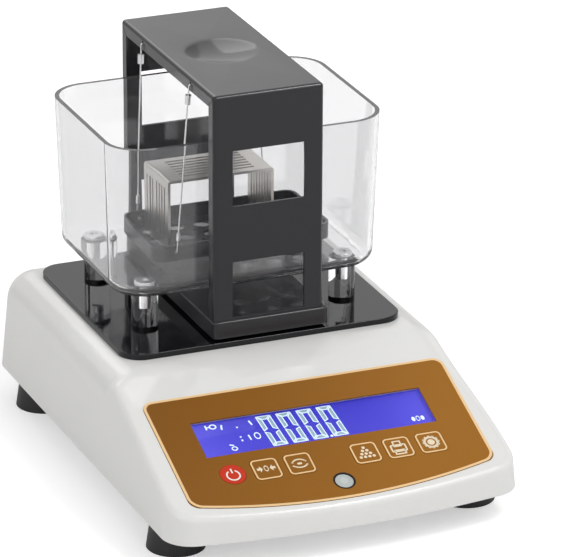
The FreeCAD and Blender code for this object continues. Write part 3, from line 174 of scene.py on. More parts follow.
class NodeSheet:
    """A node tree that is filled by one method."""

    def __init__(self, tree: bpy.types.NodeTree) -> None:
        """Empties the tree.

        Args:
            tree: the material's or world's node tree.
        """
        self.tree = tree
        tree.nodes.clear()

    def add(self, kind: str, settings: dict | None = None, values: dict | None = None,
            out: object = 0) -> Signal:
        """Adds a node, sets it and feeds it.

        Args:
            kind: the node's type.
            settings: the node's own settings, set first; "stops" fills a colour ramp.
            values: numbers, colours or Signals by input name or number.
            out: the output that is returned, by name or number.

        Returns:
            The chosen output as a Signal.
        """
        node = self.tree.nodes.new(kind)
        for name, value in (settings or {}).items():
            if name == "stops":
                self.fill_ramp(node.color_ramp, value)
            else:
                setattr(node, name, value)
        for name, value in (values or {}).items():
            if isinstance(value, Signal):
                self.tree.links.new(value.socket, node.inputs[name])
            else:
                node.inputs[name].default_value = value
        return Signal(self, node.outputs[out]) if len(node.outputs) else Signal(self, None)

    @staticmethod
    def fill_ramp(ramp: bpy.types.ColorRamp, stops: list[tuple[float, tuple]]) -> None:
        """Sets a ramp's stops.

        Args:
            ramp: the colour ramp.
            stops: (place, colour) pairs in order.
        """
        while len(ramp.elements) < len(stops):
            ramp.elements.new(1.0)
        for element, (place, colour) in zip(ramp.elements, stops):
            element.position = place
            element.color = (*colour[:3], 1.0)

    def place(self, stretch: tuple = (1.0, 1.0, 1.0)) -> Signal:
        """The point on the piece, in metres, stretched for a directional pattern."""
        point = self.add("ShaderNodeTexCoord", out="Object")
        return self.add("ShaderNodeMapping", None, {"Vector": point, "Scale": stretch})

    def noise(self, size_mm: float, detail: float = 2.0, stretch: tuple = (1.0, 1.0, 1.0)) -> Signal:
        """Smooth noise whose lumps are about one size across.

        Args:
            size_mm: the lumps' size.
            detail: how many finer layers it has.
            stretch: the pattern's stretch along each axis.

        Returns:
            The noise, about 0.3 to 0.7.
        """
        values = {"Vector": self.place(stretch), "Scale": 1.0 / (size_mm * MM), "Detail": detail}
        return self.add("ShaderNodeTexNoise", None, values, "Fac")

    def tint(self, factor: Signal, low: tuple, high: tuple) -> Signal:
        """A colour between two, by a factor."""
        return self.add("ShaderNodeValToRGB", {"stops": [(0.0, low), (1.0, high)]}, {"Fac": factor})

    def bump(self, height: Signal, depth_mm: float) -> Signal:
        """A normal that follows a height.

        Args:
            height: the height signal.
            depth_mm: the height's full depth.

        Returns:
            The bent normal.
        """
        return self.add("ShaderNodeBump", None, {"Height": height, "Distance": depth_mm * MM}, "Normal")


def new_sheet(name: str) -> tuple[bpy.types.Material, NodeSheet]:
    """A new material and its empty sheet."""
    material = bpy.data.materials.new(name)
    material.use_nodes = True
    return material, NodeSheet(material.node_tree)


@dataclass(frozen=True)
class Finish:
    """A surface with fine grain, a slight drift of shade and an uneven gloss."""

    name: str
    colour: tuple[float, float, float]
    roughness: float = 0.35
    metallic: float = 0.0
    coat: float = 0.0
    drift: float = 0.03
    grain_mm: float = 0.5
    depth_mm: float = 0.004
    gloss_drift: float = 0.08
    specular: float = 0.5
    coat_roughness: float = 0.06
    stretch: tuple = (1.0, 1.0, 1.0)
    cloud_mm: float = 40.0

    def material(self) -> bpy.types.Material:
        """Builds the material.

        Returns:
            The finished material.
        """
        made, sheet = new_sheet(self.name)
        grain = sheet.noise(self.grain_mm, 3.0, self.stretch)
        cloud = sheet.noise(self.cloud_mm, 1.0)
        low = tuple(c * (1.0 - self.drift) for c in self.colour)
        high = tuple(min(1.0, c * (1.0 + self.drift)) for c in self.colour)
        values = {
            "Base Color": sheet.tint(cloud, low, high),
            "Roughness": cloud * self.gloss_drift + (self.roughness - self.gloss_drift / 2),
            "Metallic": self.metallic,
            "Specular IOR Level": self.specular,
            "Coat Weight": self.coat,
            "Coat Roughness": self.coat_roughness,
            "Normal": sheet.bump(grain, self.depth_mm),
        }
        self.close(sheet, sheet.add("ShaderNodeBsdfPrincipled", None, values))
        return made

    def close(self, sheet: NodeSheet, shader: Signal) -> None:
        """Joins the shader to the output."""
        sheet.add("ShaderNodeOutputMaterial", None, {"Surface": shader})


@dataclass(frozen=True)
class ClearAcrylic(Finish):
    """Clear moulded acrylic, which lets shadow and soft light straight through."""

    haze: float = 0.0
    ior: float = 1.49
    milk: tuple = (0.86, 0.87, 0.89, 1.0)
    cloud_mm: float = 30.0

    def material(self) -> bpy.types.Material:
        """Builds the material.

        Returns:
            The finished material.
        """
        made, sheet = new_sheet(self.name)
        cloud = sheet.noise(self.cloud_mm, 1.0)
        values = {
            "Base Color": sheet.tint(cloud, self.colour, tuple(min(1.0, c * 1.01) for c in self.colour)),
            "Roughness": cloud * self.gloss_drift + self.roughness,
            "IOR": self.ior,
            "Transmission Weight": 1.0,
            "Normal": sheet.bump(cloud, self.depth_mm),
        }
        solid = sheet.add("ShaderNodeBsdfPrincipled", None, values)
        if self.haze:
            milk = sheet.add("ShaderNodeBsdfPrincipled", None, {"Base Color": self.milk})
            solid = sheet.add("ShaderNodeMixShader", None, {0: self.haze, 1: solid, 2: milk})
        path = sheet.add("ShaderNodeLightPath", out="Is Shadow Ray")
        soft = Signal(sheet, path.socket.node.outputs["Is Diffuse Ray"])
        through = sheet.add("ShaderNodeBsdfTransparent")
        shader = sheet.add("ShaderNodeMixShader", None, {0: path.either(soft), 1: solid, 2: through})
        self.close(sheet, shader)
        return made


@dataclass(frozen=True)
class PrintedFilm(Finish):
    """Metallic-brown printed film, with painted shade that darkens it to the left and along its upper edge.
    """

    # The colour of the painted shade, to the left and along the upper edge
    shade: tuple[float, float, float] = (0.24, 0.115, 0.02)
    half_width: float = 82.0
    depth: float = 90.0
    lower_edge: float = 1.45
    across_share: float = 0.95
    up_share: float = 0.35
    cloud_mm: float = 0.35

    def material(self) -> bpy.types.Material:
        """Builds the material.

        Returns:
            The finished material.
        """
        made, sheet = new_sheet(self.name)
        split = sheet.add("ShaderNodeSeparateXYZ", None, {"Vector": sheet.place()})
        across = split * (0.5 / (self.half_width * MM)) + 0.5
        upper = Signal(sheet, split.socket.node.outputs["Y"]) * (1.0 / (self.depth * MM)) + self.lower_edge
        # Painted light and shade: the film is paler to the right and lower on the panel, darker to the left
        # and up it
        lit = across * self.across_share + (1.0 - upper) * self.up_share
        cloud = sheet.noise(self.cloud_mm, 2.0)
        values = {
            "Base Color": sheet.tint(lit, self.shade, self.colour),
            "Roughness": cloud * self.gloss_drift + self.roughness,
            "Metallic": self.metallic,
            "Specular IOR Level": self.specular,
            "Normal": sheet.bump(cloud, self.depth_mm),
        }
        self.close(sheet, sheet.add("ShaderNodeBsdfPrincipled", None, values))
        return made


@dataclass(frozen=True)
class Backlit(Finish):
    """A lit display sheet, paler towards its two ends and its lower edge."""

    edge: tuple[float, float, float] = (0.30, 0.27, 0.95)
    strength: float = 0.75
    half_width: float = 64.0
    depth: float = 24.0
    lower_edge: float = 3.1
    end_share: float = 0.7
    low_share: float = 0.28
    cloud_share: float = 0.15
    cloud_mm: float = 18.0

    def material(self) -> bpy.types.Material:
        """Builds the material.

        Returns:
            The finished material.
        """
        made, sheet = new_sheet(self.name)
        split = sheet.add("ShaderNodeSeparateXYZ", None, {"Vector": sheet.place()})
        along = Signal(sheet, split.socket.node.outputs["Y"])
        ends = abs(split * (1.0 / (self.half_width * MM)))
        low = (along * (-1.0 / (self.depth * MM))) - self.lower_edge
        cloud = sheet.noise(self.cloud_mm, 1.0)
        pale = ends * ends * ends * self.end_share + low * self.low_share + cloud * self.cloud_share
        glow = sheet.tint(pale, self.colour, self.edge)
        values = {
            "Base Color": glow,
            "Roughness": cloud * self.gloss_drift + self.roughness,
            "Specular IOR Level": self.specular,
            "Emission Color": glow,
            "Emission Strength": self.strength,
            "Normal": sheet.bump(cloud, self.depth_mm),
        }
        self.close(sheet, sheet.add("ShaderNodeBsdfPrincipled", None, values))
        return made


@dataclass(frozen=True)
class Paint:
    """Every finish of the tester, by the part that wears it."""

    housing: Finish = Finish("housing_plastic", (0.84, 0.835, 0.815), 0.30, coat=0.35, drift=0.012,
                             grain_mm=0.9)
    base: Finish = Finish("base_plastic", (0.76, 0.755, 0.74), 0.42, drift=0.02, grain_mm=0.4, depth_mm=0.01)
    plate: Finish = Finish("polished_black_plate", (0.006, 0.006, 0.0075), 0.06, coat=0.3, grain_mm=6.0,
                           depth_mm=0.001, gloss_drift=0.05, specular=0.2)
    charcoal: Finish = Finish("charcoal_powder_coat", (0.018, 0.018, 0.021), 0.34, coat=0.5, drift=0.05,
                              grain_mm=0.35, depth_mm=0.003, specular=0.2, coat_roughness=0.08)
    stainless: Finish = Finish("brushed_stainless", (0.54, 0.515, 0.485), 0.30, 1.0, drift=0.08, grain_mm=3.0,
                               depth_mm=0.006, stretch=Axis.Z.value)
    wire: Finish = Finish("hanger_wire_steel", (0.72, 0.72, 0.72), 0.22, 1.0, grain_mm=0.3)
    ferrule: Finish = Finish("crimped_aluminium", (0.80, 0.80, 0.80), 0.30, 1.0, grain_mm=0.4, depth_mm=0.01)
    screw: Finish = Finish("plated_screw", (0.68, 0.68, 0.69), 0.20, 1.0, drift=0.05, grain_mm=0.3)
    aluminium: Finish = Finish("machined_aluminium", (0.74, 0.75, 0.76), 0.34, 1.0, grain_mm=2.0,
                               stretch=Axis.X.value)
    brass: Finish = Finish("turned_brass", (0.68, 0.50, 0.20), 0.28, 1.0, grain_mm=0.5)
    rubber: Finish = Finish("black_foot", (0.012, 0.012, 0.013), 0.42, drift=0.1, grain_mm=0.5, depth_mm=0.02)
    black: Finish = Finish("black_moulding", (0.015, 0.015, 0.016), 0.45, grain_mm=0.3, depth_mm=0.01)
    board: Finish = Finish("green_board", (0.02, 0.12, 0.045), 0.35, drift=0.12, grain_mm=1.5)
    ribbon: Finish = Finish("ribbon_grey", (0.36, 0.36, 0.37), 0.5, grain_mm=1.27, stretch=Axis.Z.value)
    diffuser: Finish = Finish("diffuser_white", (0.86, 0.86, 0.84), 0.55, grain_mm=0.6)
    acrylic: Finish = ClearAcrylic("tank_acrylic", (0.85, 0.85, 0.855), 0.0, gloss_drift=0.02,
                                   depth_mm=0.01, haze=0.03)
    leg: Finish = ClearAcrylic("leg_acrylic", (0.96, 0.965, 0.97), 0.0, gloss_drift=0.02, depth_mm=0.004)
    seal: Finish = Finish("clear_seal", (0.72, 0.73, 0.73), 0.4, grain_mm=0.4)
    pane: Finish = ClearAcrylic("display_pane", (0.98, 0.98, 1.0), 0.02, gloss_drift=0.01, depth_mm=0.0005,
                                ior=1.15)
    # The film's shade colour is painted shade, which darkens its left side and upper edge
    film: Finish = PrintedFilm("printed_film", (0.365, 0.148, 0.016), 0.38, gloss_drift=0.06,
                               depth_mm=0.002, specular=0.15, shade=(0.225, 0.086, 0.009))
    ink: Finish = Finish("peach_ink", (0.94, 0.64, 0.32), 0.42, drift=0.04, grain_mm=0.25, depth_mm=0.003)
    icon: Finish = Finish("pale_ink", (0.93, 0.80, 0.58), 0.42, drift=0.04, grain_mm=0.25, depth_mm=0.003)
    white_ink: Finish = Finish("white_ink", (0.92, 0.88, 0.84), 0.42, grain_mm=0.25, depth_mm=0.003)
    red: Finish = Finish("red_key", (0.64, 0.045, 0.02), 0.38, drift=0.06, grain_mm=0.4, specular=0.15)
    screen: Finish = Backlit("display_blue", (0.032, 0.028, 0.42), 0.3, specular=0.1,
                             edge=(0.09, 0.08, 0.60), strength=0.55)
    digit: Finish = Backlit("digit_pale", (0.26, 0.38, 0.46), 0.4, specular=0.1, edge=(0.36, 0.50, 0.60),
                            strength=0.35)
    digit_edge: Finish = Backlit("digit_edge", (0.70, 0.85, 0.92), 0.4, specular=0.1,
                                 edge=(0.8, 0.9, 0.95), strength=0.4)
    cup: Finish = Finish("level_cup_dark", (0.018, 0.014, 0.012), 0.3, grain_mm=0.3, specular=0.2)
    fluid: Finish = Finish("level_fluid", (0.50, 0.54, 0.52), 0.16, coat=0.5, drift=0.15, grain_mm=2.0)
    bubble: Finish = Finish("level_bubble", (0.58, 0.62, 0.60), 0.10, coat=0.6, grain_mm=1.0)


@contextmanager
def editing(piece: bpy.types.Object) -> Iterator[None]:
    """Opens one piece in edit mode with all of it selected, and closes it again."""
    only(piece)
    bpy.ops.object.mode_set(mode="EDIT")
    bpy.ops.mesh.select_all(action="SELECT")
    yield
    bpy.ops.object.mode_set(mode="OBJECT")


def only(piece: bpy.types.Object) -> None:
    """Makes one piece the only one selected, and the active one."""
    bpy.ops.object.select_all(action="DESELECT")
    piece.select_set(True)
    bpy.context.view_layer.objects.active = piece


def modifier(piece: bpy.types.Object, kind: str, **settings: object) -> None:
    """Adds a modifier to a piece and applies it.

    Args:
        piece: the piece.
        kind: the modifier's type.
        settings: the modifier's own settings.
    """
    only(piece)
    bpy.ops.object.modifier_add(type=kind)
    added = piece.modifiers[-1]
    for name, value in settings.items():
        setattr(added, name, value)
    bpy.ops.object.modifier_apply(modifier=added.name)


def pick_faces(piece: bpy.types.Object, test: Callable[[bpy.types.MeshPolygon], bool]) -> None:
    """Selects the faces that pass a test, and nothing else.

    Args:
        piece: the piece, in object mode.
        test: says whether a face is wanted.
    """
    bpy.context.tool_settings.mesh_select_mode = (False, False, True)
    for item in (*piece.data.vertices, *piece.data.edges):
        item.select = False
    for face in piece.data.polygons:
        face.select = bool(test(face))


def drop_faces(piece: bpy.types.Object, test: Callable[[bpy.types.MeshPolygon], bool]) -> None:
    """Deletes the faces that pass a test."""
    pick_faces(piece, test)
    only(piece)
    bpy.ops.object.mode_set(mode="EDIT")
    bpy.ops.mesh.delete(type="FACE")
    bpy.ops.object.mode_set(mode="OBJECT")


def smooth(piece: bpy.types.Object, degrees: float = FLAT_ANGLE) -> None:
    """Shades a piece smooth up to an angle, with flat faces kept flat."""
    only(piece)
    bpy.ops.object.shade_smooth_by_angle(angle=math.radians(degrees))
    modifier(piece, "WEIGHTED_NORMAL", keep_sharp=True)


def wear(piece: bpy.types.Object, material: bpy.types.Material) -> None:
    """Gives a piece one material."""
    piece.data.materials.clear()
    piece.data.materials.append(material)


def join(pieces: list[bpy.types.Object], name: str) -> bpy.types.Object:
    """Joins pieces into one.

    Args:
        pieces: the pieces, of which the first is kept.
        name: the joined piece's name.

    Returns:
        The joined piece.
    """
    only(pieces[0])
    for piece in pieces:
        piece.select_set(True)
    if len(pieces) > 1:
        bpy.ops.object.join()
    pieces[0].name = name
    return pieces[0]


def settle(piece: bpy.types.Object, place: Matrix) -> bpy.types.Object:
    """Moves a piece by a matrix and leaves its object at the origin."""
    piece.matrix_world = place @ piece.matrix_world
    only(piece)
    bpy.ops.object.transform_apply(location=True, rotation=True, scale=True)
    return piece


def twin(piece: bpy.types.Object) -> bpy.types.Object:
    """A copy of a piece, with its own mesh."""
    made = piece.copy()
    made.data = piece.data.copy()
    bpy.context.scene.collection.objects.link(made)
    return made


def smooth_copy(node: str, name: str, degrees: float = FLAT_ANGLE) -> bpy.types.Object:
    """A merged, smoothly shaded copy of a CAD node, which stands for it.

    Args:
        node: the CAD node.
        name: the copy's name.
        degrees: the sharpest angle that is shaded smooth.

    Returns:
        The copy, riding on the node's body.
    """
    source = frame["nodes"][node]
    piece = bpy.data.objects.new(name, source.data.copy())
    bpy.context.scene.collection.objects.link(piece)
    only(piece)
    bpy.ops.mesh.customdata_custom_splitnormals_clear()
    with editing(piece):
        bpy.ops.mesh.remove_doubles(threshold=MERGE_DISTANCE)
    smooth(piece, degrees)
    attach(piece, source["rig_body"])
    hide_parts(node)
    slot_of(node)
    return piece


def slot_of(node: str) -> str:
    """The record's material slot of a CAD node."""
    return next(p["material_slot"] for p in frame["record"]["subparts"] if p["node"] == node)


class InkShop:
    """Cuts thin flat shapes in the panel's own plane, in millimetres."""

    def __init__(self, level: float) -> None:
        """Sets the level that the shapes lie on.

        Args:
            level: the height over the panel, in metres.
        """
        self.level = level
        self.cut: list[bpy.types.Object] = []

    def keep(self) -> bpy.types.Object:
        """Gives the newest shape its thickness and keeps it."""
        piece = bpy.context.active_object
        only(piece)
        bpy.ops.object.transform_apply(location=True, rotation=True, scale=True)
        modifier(piece, "SOLIDIFY", thickness=INK_THICKNESS, offset=1.0)
        self.cut.append(piece)
        return piece

    def disc(self, x: float, y: float, radius: float, corners: int = 24, squeeze: float = 1.0) -> None:
        """A filled disc, which may be squeezed across into an oval."""
        bpy.ops.mesh.primitive_circle_add(vertices=corners, radius=radius * MM, fill_type="NGON",
                                          location=(x * MM, y * MM, self.level))
        bpy.context.active_object.scale = (squeeze, 1.0, 1.0)
        self.keep()

    def plate(self, corners: list[tuple[float, float]], gap: float = 0.0) -> bpy.types.Object:
        """A straight-sided plate, drawn in on every side.

        Args:
            corners: its corners, in order either way round.
            gap: how far each side is drawn in.

        Returns:
            The plate.
        """
        ahead = corners[1:] + corners[:1]
        turn = sum(a[0] * b[1] - b[0] * a[1] for a, b in zip(corners, ahead))
        ordered = corners if turn > 0 else corners[::-1]
        bpy.ops.mesh.primitive_circle_add(vertices=len(ordered), radius=MM, fill_type="NGON",
                                          location=(0.0, 0.0, self.level))
        piece = bpy.context.active_object
        for vertex, (x, y) in zip(piece.data.vertices, ordered):
            vertex.co = (x * MM, y * MM, 0.0)
        if gap:
            with editing(piece):
                bpy.ops.mesh.select_mode(type="FACE")
                bpy.ops.mesh.inset(thickness=gap * MM, use_even_offset=True)
                bpy.ops.mesh.select_all(action="INVERT")
                bpy.ops.mesh.delete(type="FACE")
        return self.keep()

    def lean(self, slope: float, still: float) -> None:
        """Leans all that was cut to the left, about a height that stays in place.

        Args:
            slope: the shift to the left for each unit up.
            still: the height up the panel that stays.
        """
        shift = Matrix.Identity(4)
        shift[0][1] = -slope
        shift[0][3] = slope * still * MM
        for piece in self.cut:
            piece.data.transform(shift)

    def repeat(self, count: int, pitch: float) -> None:
        """Copies all that was cut along the panel, each copy with its own mesh.

        Args:
            count: how many there are in all.
            pitch: the distance from one to the next.
        """
        first = join(self.cut, "cut_once")
        self.cut = [first]
        for index in range(1, count):
            piece = twin(first)
            piece.location.x += index * pitch * MM
            self.cut.append(piece)

    def ring(self, x: float, y: float, radius: float, width: float, squeeze: float = 1.0) -> bpy.types.Object:
        """A ring, which may be squeezed across into an oval.

        Args:
            x: the centre across the panel.
            y: the centre up the panel.
            radius: the outer radius.
            width: the line's width.
            squeeze: the share of the width that is kept.

        Returns:
            The ring.
        """
        bpy.ops.mesh.primitive_circle_add(vertices=48, radius=radius * MM, fill_type="NGON",
                                          location=(x * MM, y * MM, self.level))
        piece = bpy.context.active_object
        self.hollow(piece, width)
        piece.scale = (squeeze, 1.0, 1.0)
        return self.keep()

    def hollow(self, piece: bpy.types.Object, width: float) -> None:
        """Insets a flat shape and deletes its middle."""
        with editing(piece):
            bpy.ops.mesh.select_mode(type="FACE")
            bpy.ops.mesh.inset(thickness=width * MM, use_even_offset=True)
            bpy.ops.mesh.delete(type="FACE")

    def arc(self, x: float, y: float, radius: float, width: float, start: float, sweep: float) -> None:
        """A stretch of a ring, by degrees from the X axis."""
        piece = self.ring(x, y, radius, width)

        def outside(face: bpy.types.MeshPolygon) -> bool:
            """Whether a face lies past the arc's ends."""
            angle = math.degrees(math.atan2(face.center.y - y * MM, face.center.x - x * MM))
            return (angle - start) % 360.0 > sweep

        drop_faces(piece, outside)

    def slab(self, x: float, y: float, width: float, height: float, corner: float = 0.0,
             line: float = 0.0, turn: float = 0.0) -> bpy.types.Object:
        """A rectangle, rounded or hollowed where that is asked.

        Args:
            x: the centre across the panel.
            y: the centre up the panel.
            width: the size across.
            height: the size up.
            corner: the corner radius, or nought.
            line: the line's width where it is hollow, or nought.
            turn: its turn in radians.

        Returns:
            The rectangle.
        """
        bpy.ops.mesh.primitive_plane_add(size=1.0, location=(x * MM, y * MM, self.level),
                                         rotation=(0, 0, turn))
        piece = bpy.context.active_object
        piece.scale = (width * MM, height * MM, 1.0)
        only(piece)
        bpy.ops.object.transform_apply(location=False, rotation=False, scale=True)
        if corner:
            with editing(piece):
                bpy.ops.mesh.bevel(offset=corner * MM, segments=6, affect="VERTICES")
        if line:
            self.hollow(piece, line)
        return self.keep()

    def finish(self, name: str, node: str, material: bpy.types.Material) -> bpy.types.Object:
        """Joins what was cut and lays it on the panel.

        Args:
            name: the joined piece's name.
            node: the CAD node that it is printed on, whose body it takes.
            material: its finish.

        Returns:
            The joined piece.
        """
        piece = settle(join(self.cut, name), PANEL_PLACE)
        wear(piece, material)
        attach(piece, frame["nodes"][node]["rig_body"])
        slot_of(node)
        self.cut = []
        return piece


@dataclass
class Assembly:
    """A sub-assembly that is dressed in one go."""

    paint: dict[str, bpy.types.Material]
    made: list[str] = field(default_factory=list)

    def note(self, piece: bpy.types.Object) -> bpy.types.Object:
        """Reports a finished piece."""
        self.made.append(piece.name)
        LOG.info("%s: %s", type(self).__name__, piece.name)
        return piece

    def dress(self, names: dict[str, str], degrees: float = FLAT_ANGLE) -> None:
        """Dresses CAD nodes with smooth copies.

        Args:
            names: the finish's name by CAD node.
            degrees: the sharpest angle that is shaded smooth.
        """
        for node, finish in names.items():
            piece = smooth_copy(node, node + "_dressed", degrees)
            wear(piece, self.paint[finish])
            self.note(piece)

    def coat(self, names: dict[str, str]) -> None:
        """Gives CAD nodes a finish and leaves their shape as it is."""
        for node, finish in names.items():
            piece = frame["nodes"][node]
            wear(piece, self.paint[finish])
            self.note(piece)


@dataclass
class Housing(Assembly):
    """The casing, its base, feet and sockets."""

    pin_radius: float = 0.5
    pin_length: float = 3.6
    pin_pitch: float = 2.77
    pin_easing: float = 0.15
    socket_place: Vector = field(default_factory=lambda: Vector((0.0, 129.3, 30.0)) * MM)

    def build(self) -> None:
        """Dresses the shells and adds the data socket's pins."""
        self.dress({"upper_housing": "housing", "lower_housing": "base", "deck_plate": "plate"})
        self.dress({"foot_" + corner: "rubber" for corner in CORNERS})
        self.dress({"foot_stem_" + corner: "screw" for corner in CORNERS})
        self.dress({"dc_jack": "black", "serial_port": "screw", "housing_screws": "screw"})
        self.socket_pins()

    def socket_pins(self) -> None:
        """Two rows of pins in the data socket, modelled from one pin."""
        bpy.ops.mesh.primitive_cylinder_add(vertices=12, radius=self.pin_radius * MM,
                                            depth=self.pin_length * MM, rotation=(math.pi / 2, 0, 0))
        first = bpy.context.active_object
        bpy.ops.object.transform_apply(location=False, rotation=True, scale=False)
        with editing(first):
            bpy.ops.mesh.bevel(offset=self.pin_easing * MM, segments=2, affect="EDGES")
        pins = []
        for row, count in ((1, 5), (-1, 4)):
            for index in range(count):
                pin = twin(first)
                across = (index - (count - 1) / 2) * self.pin_pitch
                rise = row * self.pin_pitch / 2
                pin.location = self.socket_place + Vector((across, self.pin_length / 2, rise)) * MM
                pins.append(pin)
        bpy.data.objects.remove(first)
        piece = settle(join(pins, "data_socket_pins"), Matrix.Identity(4))
        smooth(piece)
        wear(piece, self.paint["brass"])
        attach(piece, "base")
        slot_of("serial_port")
        self.note(piece)


@dataclass
class Panel(Assembly):
    """The printed film and its keys, with their frames and signs."""

    half_width: float = 82.0
    side_length: float = 75.0
    bow: float = 10.6
    corner: float = 6.0
    outline: float = 1.4
    key_down: float = 57.7
    key_pitch: float = 17.85
    key_size: float = 13.8
    key_corner: float = 2.4
    frame_line: float = 0.85
    film_face: float = 0.3

    def build(self) -> None:
        """Dresses the film and keys, and prints the outline, frames and signs."""
        self.dress({"panel_overlay": "film"})
        columns = {"power": -3, "zero": -2, "mode": -1, "enter": 1, "print": 2, "set": 3}
        signs = {"power": self.power_sign, "zero": self.zero_sign, "mode": self.mode_sign,
                 "enter": self.enter_sign, "print": self.print_sign, "set": self.set_sign}
        self.print_outline()
        for name, column in columns.items():
            x = column * self.key_pitch
            node = "key_" + name
            self.dress({node: "red" if name == "power" else "film"})
            if name != "power":
                shop = InkShop(KEY_FACE)
                shop.slab(x, -self.key_down, self.key_size, self.key_size, self.key_corner, self.frame_line)
                self.note(shop.finish(name + "_key_frame", node, self.paint["ink"]))
            shop = InkShop(KEY_FACE)
            signs[name](shop, x, -self.key_down)
            ink = "white_ink" if name == "power" else "icon"
            self.note(shop.finish(name + "_key_sign", node, self.paint[ink]))

    def print_outline(self) -> None:
        """The pale line round the film, bowed along its lower edge."""
        steps = 28
        bpy.ops.mesh.primitive_grid_add(x_subdivisions=steps, y_subdivisions=1, size=1.0)
        piece = bpy.context.active_object
        piece.scale = (2 * self.half_width * MM, self.side_length * MM, 1.0)
        piece.location = (0.0, -self.side_length / 2 * MM, self.film_face * MM)
        bpy.ops.object.transform_apply(location=True, rotation=True, scale=True)
        radius = (self.half_width ** 2 + self.bow ** 2) / (2 * self.bow)
        for vertex in piece.data.vertices:
            if vertex.co.y < -self.side_length / 2 * MM:
                x = vertex.co.x / MM
                vertex.co.y -= (math.sqrt(radius ** 2 - x ** 2) - radius + self.bow) * MM
        with editing(piece):
            bpy.ops.mesh.dissolve_limited(angle_limit=0.0001, use_dissolve_boundaries=False)
        self.round_corners(piece)
        shop = InkShop(self.film_face * MM)
        shop.hollow(piece, self.outline)
        shop.keep()
        self.note(shop.finish("panel_outline", "panel_overlay", self.paint["ink"]))

    def round_corners(self, piece: bpy.types.Object) -> None:
        """Rounds the film outline's four corners."""
        bpy.context.tool_settings.mesh_select_mode = (True, False, False)
        limit = (self.half_width - 0.5) * MM
        for item in (*piece.data.polygons, *piece.data.edges):
            item.select = False
        for vertex in piece.data.vertices:
            vertex.select = abs(vertex.co.x) > limit
        only(piece)
        bpy.ops.object.mode_set(mode="EDIT")
        bpy.ops.mesh.bevel(offset=self.corner * MM, segments=8, affect="VERTICES", clamp_overlap=False)
        bpy.ops.object.mode_set(mode="OBJECT")

    def power_sign(self, shop: InkShop, x: float, y: float) -> None:
        """An open ring with a bar."""
        shop.arc(x, y - 0.7, 3.75, 0.85, 120.0, 300.0)
        shop.slab(x, y + 2.35, 0.85, 3.1)

    def zero_sign(self, shop: InkShop, x: float, y: float) -> None:
        """A nought between two arrows that point at it."""
        tip, neck, tail, head, stub = 1.8, 3.4, 4.9, 2.15, 0.8
        shop.ring(x, y + 0.3, 2.1, 0.7, 0.57)
        half = [(tip, 0.0), (neck, head), (neck, stub), (tail, stub)]
        outline = half + [(along, -up) for along, up in half[:0:-1]]
        for side in (-1, 1):
            shop.plate([(x + side * along, y + 0.3 + up) for along, up in outline])

    def mode_sign(self, shop: InkShop, x: float, y: float) -> None:
        """Two arcs with blobs at their ends, about a small bar."""
        for centre, radius, middle, half in ((-1.6, 4.9, 90.0, 50.7), (2.6, 5.7, 270.0, 44.1)):
            shop.arc(x, y + centre, radius, 0.8, middle - half, 2 * half)
            for end in (middle - half, middle + half):
                angle = math.radians(end)
                reach = radius - 0.4
                shop.disc(x + reach * math.cos(angle), y + centre + reach * math.sin(angle), 0.55, 12)
        shop.slab(x, y, 2.4, 1.3, 0.3)

    def enter_sign(self, shop: InkShop, x: float, y: float) -> None:
        """A heap of dots in four rows."""
        for row in range(4):
            for index in range(row + 1):
                shop.disc(x + (index - row / 2) * 2.35, y + 3.6 - row * 2.13, 0.88, 16)

    def print_sign(self, shop: InkShop, x: float, y: float) -> None:
        """A box with a sheet above and below."""
        shop.slab(x, y + 2.6, 4.6, 4.2, 0.3, 0.8)
        shop.slab(x, y - 0.45, 8.6, 5.3, 1.0, 0.85)
        shop.slab(x, y - 3.2, 6.2, 3.5, 0.4, 0.85)

    def set_sign(self, shop: InkShop, x: float, y: float) -> None:
        """A toothed ring about a disc."""
        teeth = 12
        shop.ring(x, y, 4.1, 1.35)
        shop.disc(x, y, 1.95, 24)
        for index in range(teeth):
            angle = 2 * math.pi * index / teeth
            shop.slab(x + 4.05 * math.cos(angle), y + 4.05 * math.sin(angle), 0.95, 1.15, turn=angle)


